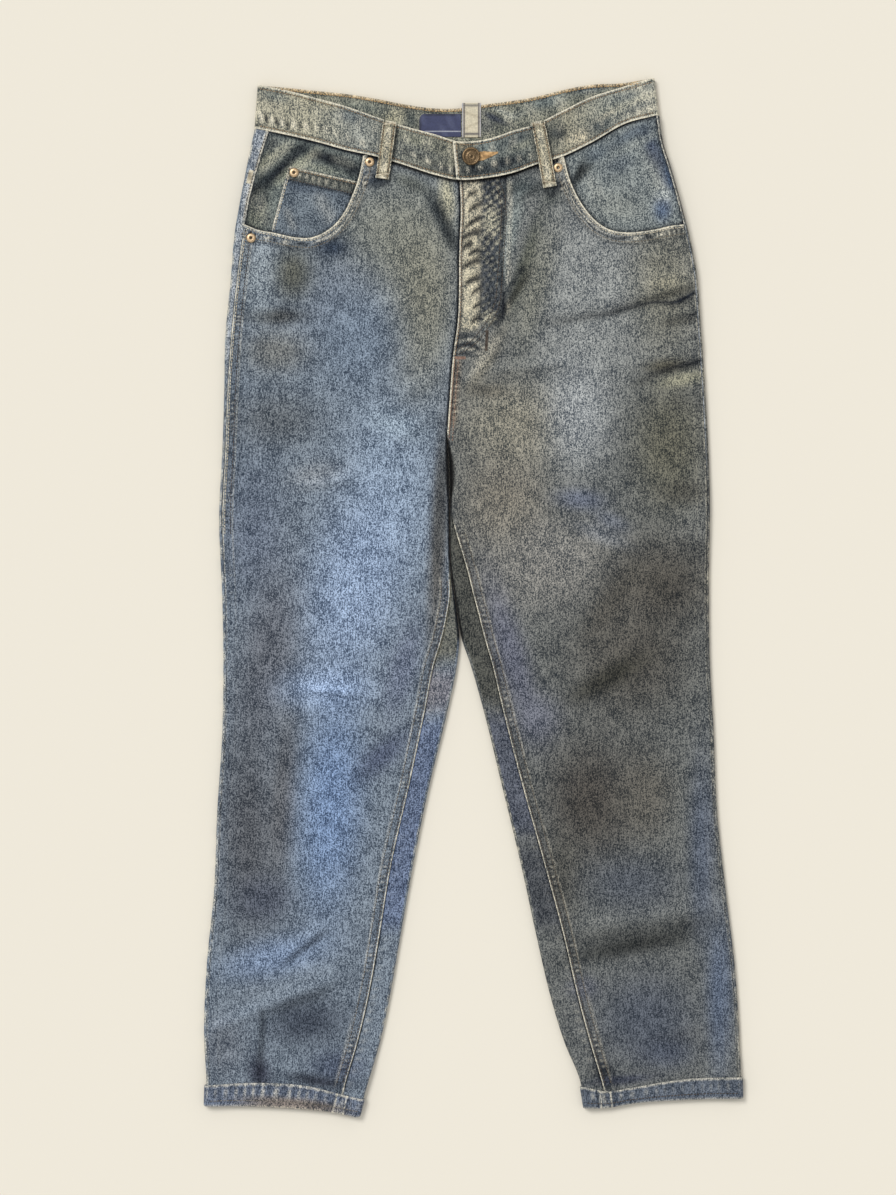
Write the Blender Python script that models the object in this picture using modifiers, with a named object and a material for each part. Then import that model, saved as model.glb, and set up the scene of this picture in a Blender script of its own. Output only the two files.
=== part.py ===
"""High-waisted tapered jeans, laid flat on a surface with the front up.

+Z is up and +Y points to the waist. The origin is at the middle of the garment's footprint.
All tables and sizes are in millimetres. "left" and "right" are as seen from above, so the wearer's
right leg is on the left.
Each leg is one tube pressed flat. Its section is a top run, a folded inner edge, a bottom run and a
folded outer edge. Every cloth piece is cut from that skin, so neighbours always meet at their seam.
"""

import math

import bmesh
import bpy
import numpy as np

for old in list(bpy.data.objects):
    bpy.data.objects.remove(old, do_unlink=True)
JEANS = bpy.data.collections.new("mom_jeans")
bpy.context.scene.collection.children.link(JEANS)

MM = 0.001
SEAM_GAP = 0.3  # between neighbouring pieces
CLOTH = 1.2  # denim wall
BAND = 2.6  # waistband, cloth doubled over its facing
CUFF = 1.6  # turn-up, cloth doubled and pressed
LOOP = 1.8  # belt loop, cloth folded in three
FOLD_RADIUS = 2.6  # how far a folded edge rounds, seen from above
CROTCH_Y = 151.0
SEAT_X = -24.0  # where the seat seam runs on the underside
HEM_Y, YOKE_Y = -487.0, 385.0  # mean heights of the two ends of a back panel
BAND_Y = 446.0  # mean height of the waistband seam
FORK_Y, FORK_RAMP, FORK_NARROW = 60.0, 90.0, 1.0  # towards the crotch the inner folds get tighter

# Garment's outer edge on each side, and how far the outseam lies inside it on the top
SIDE_COLUMNS = ("y", "edge", "inset")
SIDE_LEFT = (
    (-487, -256.8, 3.2),
    (-460, -256.3, 3.2),
    (-430, -258.2, 3.2),
    (-355, -256.0, 3.2),
    (-280, -248.8, 3.2),
    (-205, -245.8, 3.2),
    (-130, -241.0, 3.2),
    (-60, -240.0, 3.2),
    (0, -241.0, 3.2),
    (75, -244.0, 3.2),
    (150, -240.5, 3.2),
    (200, -239.0, 3.4),
    (250, -238.0, 6.0),
    (300, -233.2, 6.2),
    (356, -228.0, 9.0),
    (389, -222.0, 9.4),
    (423, -215.3, 12.3),
    (448, -210.0, 14.5),
    (490, -207.0, 14.5),
)
SIDE_RIGHT = (
    (-482, 256.8, 3.2),
    (-430, 255.4, 3.2),
    (-355, 250.6, 3.2),
    (-280, 241.6, 3.2),
    (-205, 233.6, 3.2),
    (-130, 230.4, 3.2),
    (-60, 226.6, 3.2),
    (0, 225.8, 3.2),
    (100, 226.6, 3.2),
    (190, 222.7, 3.2),
    (265, 217.6, 3.2),
    (310, 214.0, 3.2),
    (350, 206.0, 3.2),
    (381, 198.0, 3.2),
    (410, 190.0, 3.2),
    (435, 182.0, 3.2),
    (461, 178.0, 3.2),
    (497, 173.5, 3.2),
)

# Inner edge of each leg below the crotch, and the inseam, which lies on the top beside it
INNER_COLUMNS = ("y", "seam", "edge")
INNER_LEFT = (
    (-500, -132.3, -111.2),
    (-460, -121.0, -99.5),
    (-430, -112.0, -90.5),
    (-380, -100.0, -79.7),
    (-330, -91.0, -71.0),
    (-255, -78.5, -57.6),
    (-180, -61.5, -42.2),
    (-105, -45.7, -24.0),
    (-62, -38.3, -15.4),
    (-40, -34.3, -13.6),
    (-18, -31.1, -15.7),
    (0, -28.5, -18.2),
    (32, -26.0, -19.9),
    (90, -27.4, -22.2),
    (151, -30.0, -25.2),
)
INNER_RIGHT = (
    (-500, 132.8, 108.5),
    (-460, 121.5, 101.0),
    (-430, 112.5, 88.3),
    (-380, 99.0, 73.0),
    (-330, 87.5, 61.4),
    (-255, 67.5, 45.1),
    (-180, 46.5, 27.0),
    (-105, 27.2, 8.6),
    (-62, 17.5, -3.8),
    (-40, 11.6, -11.4),
    (-18, 5.2, -15.2),
    (0, 0.0, -17.7),
    (32, -9.0, -19.4),
    (90, -15.9, -21.7),
    (151, -19.4, -24.7),
)

# Turn-ups: their lower and upper edges
CUFF_COLUMNS = ("x", "bottom", "top")
CUFF_LEFT = (
    (-259, -487.0, -468.5),
    (-205, -487.4, -466.3),
    (-160, -490.0, -469.5),
    (-129, -493.3, -476.5),
    (-106, -497.5, -481.5),
)
CUFF_RIGHT = (
    (103, -489.0, -469.0),
    (128, -488.6, -474.0),
    (150, -485.0, -471.0),
    (200, -481.2, -463.0),
    (259, -479.5, -460.5),
)

# Waistband: its lower seam and upper edge on the front, and the same on the back
WAIST_COLUMNS = ("x", "front_seam", "front_top", "back_seam", "back_top")
WAIST = (
    (-207, 448.0, 490.0, 448.0, 490.0),
    (-180, 442.5, 485.0, 447.0, 488.0),
    (-150, 435.5, 477.5, 444.0, 485.0),
    (-121, 427.5, 469.5, 441.0, 482.0),
    (-93, 421.5, 459.5, 436.5, 477.5),
    (-65, 413.0, 450.5, 431.0, 472.0),
    (-37, 404.0, 443.0, 427.3, 468.3),
    (-13, 399.0, 436.0, 427.5, 468.5),
    (14, 401.0, 438.0, 431.5, 472.5),
    (37, 405.5, 446.0, 434.5, 475.5),
    (60, 414.0, 453.0, 438.5, 479.5),
    (86, 422.0, 466.0, 445.0, 486.0),
    (113, 435.0, 479.0, 450.5, 491.0),
    (145, 453.0, 488.5, 454.5, 492.5),
    (175, 461.0, 497.0, 461.0, 497.0),
)
# Places along the front waistband seam where band, panels and facings all have a point
WAIST_STOPS = {
    "left": (-178, -160, -142, -124, -105.5, -87, -69, -51, -32, -13.75),
    "right": (160, 145, 130, 116, 101, 86.5, 70, 54, 37, 20.5, 8, -4.6, -13.45),
}
YOKE_COLUMNS = ("x", "seam")
YOKE = ((-228, 408), (-130, 389), (-24, 359), (90, 391), (196, 420))

# Pocket mouths, from the outseam to the waistband seam
MOUTH_Y = 356.5
MOUTH_LEFT = (
    (-219.0, MOUTH_Y),
    (-206, 351.5),
    (-190, 348.5),
    (-172, 344.5),
    (-156, 344.0),
    (-144, 348.5),
    (-134, 355.5),
    (-124, 368.0),
    (-116, 385.0),
    (-110, 402.0),
    (-105.5, 424.4),
)
MOUTH_RIGHT = (
    (201.0, MOUTH_Y),
    (188, 355.0),
    (174, 352.0),
    (160, 349.8),
    (145, 349.0),
    (132, 351.0),
    (120, 357.5),
    (108, 370.0),
    (98, 386.0),
    (90.5, 405.0),
    (86.5, 422.1),
)
# Edge of the closed fly, from the crotch to the waistband seam
FLY_COLUMNS = ("y", "x")
FLY = ((151, -25.8), (201, -22.2), (231, -19.7), (261, -15.6), (334, -13.8), (375, -12.4), (399, -13.6))
FLY_BOTTOM_Y = 231.0
COIN_TOP_LEFT, COIN_TOP_RIGHT = (-177.0, 413.0), (-106.0, 396.8)
COIN_BOTTOM_LEFT = (-193.5, 352.0)
COIN_PROUD, COIN_HEM = CLOTH + 0.55, 0.3  # the coin pocket's skin over the facing's, and its thicker top

# Height of the top skin by how far below the waistband seam it lies
DRAPE_COLUMNS = ("below", "height")
DRAPE = ((-20, 7.1), (0, 7.1), (60, 6.7), (105, 6.5), (150, 5.3), (220, 4.1), (300, 3.7), (900, 3.7))
# Lift of the underside over the ends of the back belt loops, by how far below the band's seam
LOOP_FOOT, LOOP_CLEAR = 16.0, 36.0
LOOP_LIFT = ((-60.0, 1.8), (0.0, 1.8), (LOOP_FOOT, 1.5), (LOOP_CLEAR, 0.0))
EDGE_RISE, EDGE_REACH, CROTCH_REACH = 1.9, 16.0, 14.0  # a folded edge springs up
SEAM_RISE, SEAM_REACH = 0.6, 7.0  # felled seams are thicker
SEAM_FADE_Y, SEAM_FADE = -465.0, 25.0  # their ridge starts above the turn-ups
FLY_STEP, FLY_REACH, FLY_RAMP = 1.7, 44.0, 40.0  # the lapped side of the fly stands over the other
HEM_INSIDE = 1.0  # a leg ends this far inside the fold of its turn-up
CUFF_LIFT_Y, CUFF_RAMP = -456.0, 22.0  # legs lie on their turn-ups up to here, then come down

# Largest creases of the top layer: both ends, height (a trough is negative) and half-width
CREASE_TAIL = 0.25  # share of its length over which each end fades, inside and outside the end
CREASE_COLUMNS = ("x1", "y1", "x2", "y2", "height", "width")
CREASES = (
    (216, 294, 131, 273, -1.4, 9),
    (131, 273, 70, 264, -1.2, 10),
    (214, 312, 120, 290, 1.0, 10),
    (221, 225, 153, 203, -0.9, 9),
    (222, 244, 150, 226, 1.6, 9),
    (33, 353, 20, 261, 1.5, 9),
    (23, 243, -6, 205, 1.6, 8),
    (88, 225, 12, 216, 1.5, 9),
    (-44, 389, -19, 335, -1.2, 9),
    (-169, 107, -121, 113, 2.0, 10),
    (-60, 300, -110, 255, 1.5, 12),
    (-163, -87, -114, -91, 2.2, 9),
    (-141, -325, -176, -347, 1.8, 9),
    (-253, -416, -200, -395, 2.6, 12),
    (-200, -395, -157, -372, 2.2, 12),
    (217, 93, 165, 0, 2.2, 20),
    (165, 0, 112, -99, 1.8, 20),
    (60, 60, 120, 20, 1.6, 14),
    (95, -316, 230, -296, 2.0, 10),
    (130, -180, 215, -215, 1.4, 14),
    (-215, 60, -150, 20, 1.6, 16),
    (-200, -200, -120, -165, 1.4, 14),
)

# Back pockets: middle of the top edge, width, depth at the sides and at the point
POCKET_COLUMNS = ("x", "top", "width", "side", "point")
POCKETS = {"left": (-130.0, 338.0, 140.0, 128.0, 146.0), "right": (90.0, 338.0, 140.0, 128.0, 146.0)}
POCKET_LIFT = CLOTH + SEAM_GAP
POCKET_MARGIN, POCKET_MARGIN_ALONG, POCKET_RAMP = 2.0, 42.0, 8.0
POCKET_TOP_MARGIN, POCKET_TOP_RAMP = 30.0, 40.0  # the top layer's wider share of that lift

# Front belt loops: top and bottom ends of the middle line
FRONT_LOOPS = {"left": ((-80.0, 455.5), (-87.5, 400.5)), "right": ((61.5, 455.0), (73.0, 392.5))}
BACK_LOOPS = {"left": -152.0, "middle": -22.0, "right": 118.0}
LOOP_WIDTH = 13.0
LOOP_ON_BAND, LOOP_SPRING, LOOP_SEAT = 0.68, 1.3, 0.7  # share on the band, bulge, space for the seam
BUTTON_PLACE, BUTTON_RADIUS, SHANK_RADIUS = (-2.4, 421.4), 8.75, 1.0
BUTTONHOLE = (-4.6, 20.5)  # two of the right-hand stops above
RIVET_RADIUS, RIVET_HEIGHT = 4.6, 1.3
RIVETS = {
    "rivet_mouth_left": (-99.5, 416.5),
    "rivet_outseam_left": (-213.0, 343.5),
    "rivet_mouth_right": (81.0, 411.0),
    "rivet_coin": (-172.0, 406.5),
}

# Plain surface of each material: colour, roughness, metallic
FINISHES = {
    "denim": ((0.17, 0.21, 0.27), 0.9, 0.0),
    "denim_light": ((0.31, 0.33, 0.34), 0.9, 0.0),
    "denim_dark": ((0.07, 0.09, 0.11), 0.9, 0.0),
    "cotton_tape": ((0.06, 0.07, 0.13), 0.85, 0.0),
    "satin_label": ((0.55, 0.5, 0.42), 0.7, 0.0),
    "brass": ((0.3, 0.2, 0.11), 0.4, 1.0),
}

# Heights along the legs at which the skin is worked out
LEG_ROWS = (-474, -458, -436, -411, -383, -352, -320, -288, -255, -222, -190, -158, -126, -97, -74)
LEG_ROWS += (-55, -38, -18, 6, 32, 60, 90, 121, 151)
HIP_ROWS = (158, 180, 210, 240, 268, 296, 326, MOUTH_Y)
ROWS = np.array((HEM_Y,) + LEG_ROWS + HIP_ROWS, float)
CROTCH_ROW = 1 + LEG_ROWS.index(151)


def column(table, columns, name):
    """One named column of a table."""
    return np.array([row[columns.index(name)] for row in table], float)


def curve(table, columns, across, value):
    """A smooth function through the rows of a table: cubic stretches with averaged slopes."""
    xs, ys = column(table, columns, across), column(table, columns, value)
    slopes = np.gradient(ys, xs)

    def at(x):
        x = np.clip(x, xs[0], xs[-1])
        i = np.clip(np.searchsorted(xs, x) - 1, 0, len(xs) - 2)
        step = xs[i + 1] - xs[i]
        t = (x - xs[i]) / step
        start = (2 * t**3 - 3 * t**2 + 1) * ys[i] + (t**3 - 2 * t**2 + t) * step * slopes[i]
        end = (3 * t**2 - 2 * t**3) * ys[i + 1] + (t**3 - t**2) * step * slopes[i + 1]
        return start + end

    return at


def smooth(t):
    """0 to 1 with level ends."""
    t = np.clip(t, 0, 1)
    return t * t * (3 - 2 * t)


front_seam = curve(WAIST, WAIST_COLUMNS, "x", "front_seam")
front_top = curve(WAIST, WAIST_COLUMNS, "x", "front_top")
back_seam = curve(WAIST, WAIST_COLUMNS, "x", "back_seam")
back_top = curve(WAIST, WAIST_COLUMNS, "x", "back_top")
fly_edge = curve(FLY, FLY_COLUMNS, "y", "x")


def yoke_seam(x):
    """Height of the yoke seam, two nearly straight runs that meet at the seat seam."""
    return np.interp(x, column(YOKE, YOKE_COLUMNS, "x"), column(YOKE, YOKE_COLUMNS, "seam"))


def hem_lift(y):
    """How far the turn-ups lift the legs off the surface."""
    return (CUFF + SEAM_GAP) * smooth(1 - (y - CUFF_LIFT_Y) / CUFF_RAMP)


class Leg:
    """One side of the garment: where its edges and seams run, by height."""

    def __init__(self, name, side, inner, cuff, mouth):
        self.name = name
        self.out = -1.0 if name == "left" else 1.0
        edge = curve(side, SIDE_COLUMNS, "y", "edge")
        inset = curve(side, SIDE_COLUMNS, "y", "inset")
        self.edge = edge
        self.outseam = lambda y: edge(y) - self.out * inset(y)
        self.inseam = curve(inner, INNER_COLUMNS, "y", "seam")
        self.inner = curve(inner, INNER_COLUMNS, "y", "edge")
        self.hem = curve(cuff, CUFF_COLUMNS, "x", "bottom")
        self.cuff_top = curve(cuff, CUFF_COLUMNS, "x", "top")
        self.mouth = np.array(mouth, float)
        self.mouth[0, 0] = self.outseam(MOUTH_Y) - self.out * SEAM_GAP / 2
        self.pocket = dict(zip(POCKET_COLUMNS, POCKETS[name]))

    def inner_radius(self, y):
        return FOLD_RADIUS - FORK_NARROW * smooth((y - FORK_Y) / FORK_RAMP)

    def pocket_lift(self, x, y, margin, ramp):
        """1 over the back pocket and its margin, 0 outside the ramp round it. Along the leg the
        margin is a row of the panel longer, so that no facet cuts the pocket."""
        p = self.pocket
        aside = np.abs(x - p["x"]) - p["width"] / 2 - margin
        middle = p["top"] - p["point"] / 2
        along = np.abs(y - middle) - p["point"] / 2 - POCKET_MARGIN_ALONG
        return np.clip(1 - aside / ramp, 0, 1) * np.clip(1 - along / ramp, 0, 1)

    def floor(self, x, y):
        """Height of the underside's skin."""
        pocket = POCKET_LIFT * self.pocket_lift(x, y, POCKET_MARGIN, POCKET_RAMP)
        below, lift = np.array(LOOP_LIFT).T
        waist = np.interp(back_seam(x) - y, below, lift)
        return hem_lift(y) + pocket + waist

    def top(self, x, y):
        """Height of the top skin."""
        drape = np.interp(front_seam(x) - y, *(column(DRAPE, DRAPE_COLUMNS, c) for c in DRAPE_COLUMNS))
        pocket = POCKET_LIFT * smooth(self.pocket_lift(x, y, POCKET_TOP_MARGIN, POCKET_TOP_RAMP))
        above = np.maximum(y - CROTCH_Y, 0)
        low = np.minimum(y, CROTCH_Y)
        from_edge = (self.edge(y) - x) * self.out
        from_inner = (x - self.inner(low)) * self.out
        rise = EDGE_RISE * np.exp(-((from_edge / EDGE_REACH) ** 2))
        rise += EDGE_RISE * np.exp(-((from_inner / EDGE_REACH) ** 2) - (above / CROTCH_REACH) ** 2)
        from_seam = x - np.where(y < CROTCH_Y, self.inseam(low), fly_edge(y))
        seam = SEAM_RISE * np.exp(-((from_seam / SEAM_REACH) ** 2))
        seam += SEAM_RISE * np.exp(-(((x - self.outseam(y)) / SEAM_REACH) ** 2))
        seam *= smooth((y - SEAM_FADE_Y) / SEAM_FADE)
        return drape + pocket + hem_lift(y) + rise + seam + creases(x, y) + self.fly_step(x, y)

    def fly_step(self, x, y):
        """The lapped side of the fly stands over the button side."""
        if self.name == "left":
            return 0.0
        beyond = x - fly_edge(y)
        return FLY_STEP * smooth(1 - beyond / FLY_REACH) * smooth((y - FLY_BOTTOM_Y) / FLY_RAMP + 0.5)


def creases(x, y):
    """Soft ridges and troughs, each highest at its middle and fading to its ends."""
    total = 0.0
    for row in CREASES:
        c = dict(zip(CREASE_COLUMNS, row))
        dx, dy = c["x2"] - c["x1"], c["y2"] - c["y1"]
        length = math.hypot(dx, dy)
        along = ((x - c["x1"]) * dx + (y - c["y1"]) * dy) / length**2
        aside = ((x - c["x1"]) * dy - (y - c["y1"]) * dx) / length
        ends = (along + CREASE_TAIL) / (2 * CREASE_TAIL), (1 + CREASE_TAIL - along) / (2 * CREASE_TAIL)
        fade = smooth(ends[0]) * smooth(ends[1])
        total = total + c["height"] * fade * np.exp(-((aside / c["width"]) ** 2))
    return total


LEGS = {
    "left": Leg("left", SIDE_LEFT, INNER_LEFT, CUFF_LEFT, MOUTH_LEFT),
    "right": Leg("right", SIDE_RIGHT, INNER_RIGHT, CUFF_RIGHT, MOUTH_RIGHT),
}


def material(name):
    """The plain material of one finish."""
    if name in bpy.data.materials:
        return bpy.data.materials[name]
    color, roughness, metallic = FINISHES[name]
    made = bpy.data.materials.new(name)
    made.use_nodes = True
    shader = made.node_tree.nodes["Principled BSDF"]
    shader.inputs["Base Color"].default_value = (*color, 1)
    shader.inputs["Roughness"].default_value = roughness
    shader.inputs["Metallic"].default_value = metallic
    return made


def add(name, points, faces, finish):
    """A mesh object from points in millimetres, with unused points left out. Faces that all agree are
    turned outwards together."""
    faces = [list(face) for face in faces]
    used = sorted({i for face in faces for i in face})
    place = {old: new for new, old in enumerate(used)}
    mesh = bpy.data.meshes.new(name)
    mesh.from_pydata(np.asarray(points)[used] * MM, [], [[place[i] for i in face] for face in faces])
    shaped = bmesh.new()
    shaped.from_mesh(mesh)
    if shaped.calc_volume(signed=True) < 0:
        bmesh.ops.reverse_faces(shaped, faces=shaped.faces)
    shaped.to_mesh(mesh)
    shaped.free()
    mesh.shade_smooth()
    mesh.set_sharp_from_angle(angle=math.radians(40))
    mesh.materials.append(material(finish))
    thing = bpy.data.objects.new(name, mesh)
    JEANS.objects.link(thing)
    return thing


def grid_faces(rows, columns, keep=None):
    """Quads of a grid of points, those where keep is true."""
    quads = []
    for r in range(rows - 1):
        for c in range(columns - 1):
            if keep is None or keep[r][c]:
                a = r * columns + c
                quads.append((a, a + 1, a + columns + 1, a + columns))
    return quads


def wall(name, outer, inner, finish, keep=None):
    """A cloth wall between two grids of points, its skin and its inside, closed along every free edge."""
    rows, columns = outer.shape[:2]
    skin = grid_faces(rows, columns, keep)
    count = rows * columns
    edges = {(face[i], face[(i + 1) % 4]) for face in skin for i in range(4)}
    rim = [(b, a, a + count, b + count) for a, b in edges if (b, a) not in edges]
    inside = [tuple(i + count for i in reversed(face)) for face in skin]
    points = np.concatenate([outer.reshape(-1, 3), inner.reshape(-1, 3)])
    return add(name, points, skin + inside + sorted(rim), finish)


def sunk(grid, depth):
    """A copy of a grid of points, lower by depth."""
    return grid - np.array([0, 0, depth])


def shell(name, grid, thickness, finish):
    """An open grid with Solidify. The grid is the skin, and the thickness goes to its back."""
    rows, columns = grid.shape[:2]
    thing = add(name, grid.reshape(-1, 3), grid_faces(rows, columns), finish)
    solid = thing.modifiers.new("thickness", "SOLIDIFY")
    solid.thickness = thickness * MM
    solid.offset = -1
    return thing


def heights_on(leg, xy):
    """Points of the top skin over places in plan."""
    return np.dstack([xy, leg.top(xy[..., 0], xy[..., 1])])


def front_panel(leg):
    """Front panel. Below the crotch its rows run level from seam to seam, and above it they take
    on the line of the pocket mouth and the waistband seam."""
    half = SEAM_GAP / 2
    waist_x = np.array([x for x in WAIST_STOPS[leg.name] if (leg.mouth[-1, 0] - x) * leg.out > 1])
    waist = np.stack([waist_x, front_seam(waist_x) - half], 1)
    last_mouth = leg.mouth[-1:] - [0, half]
    upper = np.concatenate([leg.mouth[:-1], last_mouth, waist])
    share_top = (upper[:, 0] - upper[0, 0]) / (upper[-1, 0] - upper[0, 0])
    count = len(upper)
    share_leg = np.linspace(0, 1, count)
    xy = np.zeros((len(ROWS), count, 2))
    for j, row in enumerate(ROWS):
        up = max(0.0, (row - CROTCH_Y) / (ROWS[-1] - CROTCH_Y))
        share = share_leg + (share_top - share_leg) * up
        inner_y, seam = row, leg.inseam(row) + leg.out * half
        if j > CROTCH_ROW:
            inner_y = CROTCH_Y + up * (upper[-1, 1] - CROTCH_Y)
            seam = fly_edge(inner_y) + leg.out * half
        outer = leg.outseam(row) - leg.out * half
        x = outer + (seam - outer) * share
        y = row + (inner_y - row) * share
        chord = upper[0, 1] + (upper[-1, 1] - upper[0, 1]) * share_top
        y = y + up**2 * (upper[:, 1] - chord)
        if j == 0:
            y = leg.hem(x) + HEM_INSIDE
            outer, seam = leg.outseam(y) - leg.out * half, leg.inseam(y) + leg.out * half
            x = outer + (seam - outer) * share
        if j == len(ROWS) - 1:
            x, y = upper[:, 0], upper[:, 1]
        xy[j] = np.stack([x, y], 1)
    skin = heights_on(leg, xy)
    return wall(f"front_{leg.name}", skin, sunk(skin, CLOTH), "denim")


def fold_points(leg, y, edge_x, radius, out, angle, thickness, lift=0.0):
    """Points on a folded edge: half an ellipse from the top skin to the underside, angle from
    90 degrees at the top to -90 below. lift moves the skin outwards."""
    start_x = edge_x - out * radius
    high, low = leg.top(start_x, y), leg.floor(start_x, y)
    middle, tall = (high + low) / 2, (high - low) / 2
    reach = radius + lift - thickness
    rise = tall + lift - thickness
    turn = math.radians(angle)
    return np.stack([start_x + out * reach * math.cos(turn), y, middle + rise * math.sin(turn)], 1)


FOLD_ANGLES = (54, 18, -18, -54)


def bottom_stations(leg, y):
    """Places across the underside, from the inner to the outer edge. Over the hips they line up
    with the ramps round the back pocket, and down the leg they are evenly spaced."""
    inner = leg.inner(np.minimum(y, CROTCH_Y)) + leg.out * leg.inner_radius(y)
    inner = np.where(y > CROTCH_Y, SEAT_X + leg.out * SEAM_GAP / 2, inner)
    outer = leg.edge(y) - leg.out * FOLD_RADIUS
    p = leg.pocket
    near = p["x"] - leg.out * (p["width"] / 2 + POCKET_MARGIN)
    far = p["x"] + leg.out * (p["width"] / 2 + POCKET_MARGIN)
    ramp = leg.out * POCKET_RAMP
    hip = (near - ramp, near, near + (far - near) / 3, far - (far - near) / 3, far, far + ramp)
    even = [inner + (outer - inner) * (i + 1) / (len(hip) + 1) for i in range(len(hip))]
    share = smooth((y - FORK_Y) / FORK_RAMP)
    middle = [e + (h - e) * share for e, h in zip(even, hip)]
    return [inner] + middle + [outer]


def back_grid(leg, rows, place, thickness):
    """Skin and inside of a back piece as columns: the strip on the top beside the inseam, the
    inner fold, the underside, the outer fold and the strip on the top up to the outseam.
    Each column is a line down the leg. place(x, y, high) moves its points to the piece's own ends."""
    half = leg.out * SEAM_GAP / 2
    skin, inside = [], []

    def settle(line, high=False):
        """Points of a line down the leg, at the heights that place gives them."""
        y = rows
        for _ in range(3):
            y = place(line(y), rows, high)
        return line(y), y

    def flat(line, high):
        x, y = settle(line, high)
        z = leg.top(x, y) if high else leg.floor(x, y)
        skin.append(np.stack([x, y, z], 1))
        inside.append(np.stack([x, y, z - thickness if high else z + thickness], 1))

    def fold(edge, radius, out, angles):
        x, y = settle(edge)
        for angle in angles:
            skin.append(fold_points(leg, y, x, radius(y), out, angle, 0.0))
            inside.append(fold_points(leg, y, x, radius(y), out, angle, thickness))

    def inner_edge(y):
        return leg.inner(np.minimum(y, CROTCH_Y))

    def strip_line(share):
        def line(y):
            start = leg.inseam(np.minimum(y, CROTCH_Y)) - half
            stop = inner_edge(y) + leg.out * leg.inner_radius(y)
            return start + (stop - start) * share

        return line

    for share in (0.0, 0.5, 1.0):
        flat(strip_line(share), True)
    fold(inner_edge, leg.inner_radius, -leg.out, FOLD_ANGLES)
    for i in range(len(bottom_stations(leg, rows))):
        flat(lambda y, i=i: bottom_stations(leg, y)[i], False)
    fold(leg.edge, lambda y: FOLD_RADIUS, leg.out, FOLD_ANGLES[::-1])
    flat(lambda y: leg.edge(y) - leg.out * FOLD_RADIUS, True)
    flat(lambda y: leg.outseam(y) + half, True)
    return np.stack(skin, 1), np.stack(inside, 1)


STRIP_COLUMNS = 3 + len(FOLD_ANGLES)  # columns before the underside


def back_panel(leg):
    """Back panel, wrapped round both edges of the leg. Above the crotch it has no inner fold."""
    rows = np.concatenate([ROWS, [YOKE_Y, YOKE_Y]])

    def place(x, y, high):
        seam = yoke_seam(x) - SEAM_GAP / 2
        placed = y + 0 * seam
        placed[0] = (leg.hem(x) + HEM_INSIDE + 0 * y)[0]
        placed[-1] = (seam + 0 * y)[-1]
        placed[-2] = (MOUTH_Y + placed[-1]) / 2
        return placed

    skin, inside = back_grid(leg, rows, place, CLOTH)
    keep = np.ones((len(rows) - 1, skin.shape[1] - 1), bool)
    keep[CROTCH_ROW:, :STRIP_COLUMNS] = False
    return wall(f"back_{leg.name}", skin, inside, "denim", keep)


YOKE_ROWS = np.array([YOKE_Y, 410.0, 430.0, BAND_Y])  # mean heights of the yoke's rows
YOKE_MIN = 2.5  # least height of its first row of faces


def yoke_rows(x, upper):
    """Heights of the yoke's four rows, whose last two lie over the ends of the belt loops."""
    upper = upper - SEAM_GAP / 2
    lower = yoke_seam(x) + SEAM_GAP / 2
    ramp, loop = np.maximum(upper - LOOP_CLEAR, lower + YOKE_MIN), upper - LOOP_FOOT
    return np.stack([lower[..., 0], ramp[..., 1], loop[..., 2], upper[..., 3]], -1)


def yoke(leg):
    """Back yoke, from the yoke seam to the waistband, wrapped over the outer edge."""

    def place(x, y, high):
        return yoke_rows(x + 0 * y, (front_seam if high else back_seam)(x))

    skin, inside = back_grid(leg, YOKE_ROWS, place, CLOTH)
    keep = np.ones((len(YOKE_ROWS) - 1, skin.shape[1] - 1), bool)
    keep[:, :STRIP_COLUMNS] = False
    return wall(f"yoke_{leg.name}", skin, inside, "denim", keep)


CUFF_Y = -475.0  # mean height of the turn-ups


def cuff(leg):
    """Turn-up: a flat ring round the leg's end. Its places are laid out at its mean height, and each
    slants with the leg's edges."""
    shares = np.array([0.0, 0.35, 1.0])
    lift = CUFF + SEAM_GAP
    outer, inner = [], []
    edge, inner_edge = leg.edge(CUFF_Y), leg.inner(CUFF_Y)
    runs = np.linspace(edge - leg.out * FOLD_RADIUS, inner_edge + leg.out * FOLD_RADIUS, 7)

    def add_run(x, high):
        y = leg.hem(x) + (leg.cuff_top(x) - leg.hem(x)) * shares
        slant = x + (leg.edge(y) - edge) * (x - inner_edge) / (edge - inner_edge)
        slant = slant + (leg.inner(y) - inner_edge) * (edge - x) / (edge - inner_edge)
        z = leg.top(slant, y) if high else leg.floor(slant, y)
        sign = 1 if high else -1
        outer.append(np.stack([slant, y, z + sign * lift], 1))
        inner.append(np.stack([slant, y, z + sign * SEAM_GAP], 1))

    def add_fold(x, out, edge_at, angles):
        y = leg.hem(x) + (leg.cuff_top(x) - leg.hem(x)) * shares
        for angle in angles:
            outer.append(fold_points(leg, y, edge_at(y), FOLD_RADIUS, out, angle, 0, lift))
            inner.append(fold_points(leg, y, edge_at(y), FOLD_RADIUS, out, angle, 0, SEAM_GAP))

    for x in runs:
        add_run(x, True)
    add_fold(runs[-1], -leg.out, leg.inner, FOLD_ANGLES)
    for x in runs[::-1]:
        add_run(x, False)
    add_fold(runs[0], leg.out, leg.edge, FOLD_ANGLES[::-1])
    outer.append(outer[0])
    inner.append(inner[0])
    return ring(f"cuff_{leg.name}", np.stack(outer, 1), np.stack(inner, 1), "denim_light")


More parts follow.
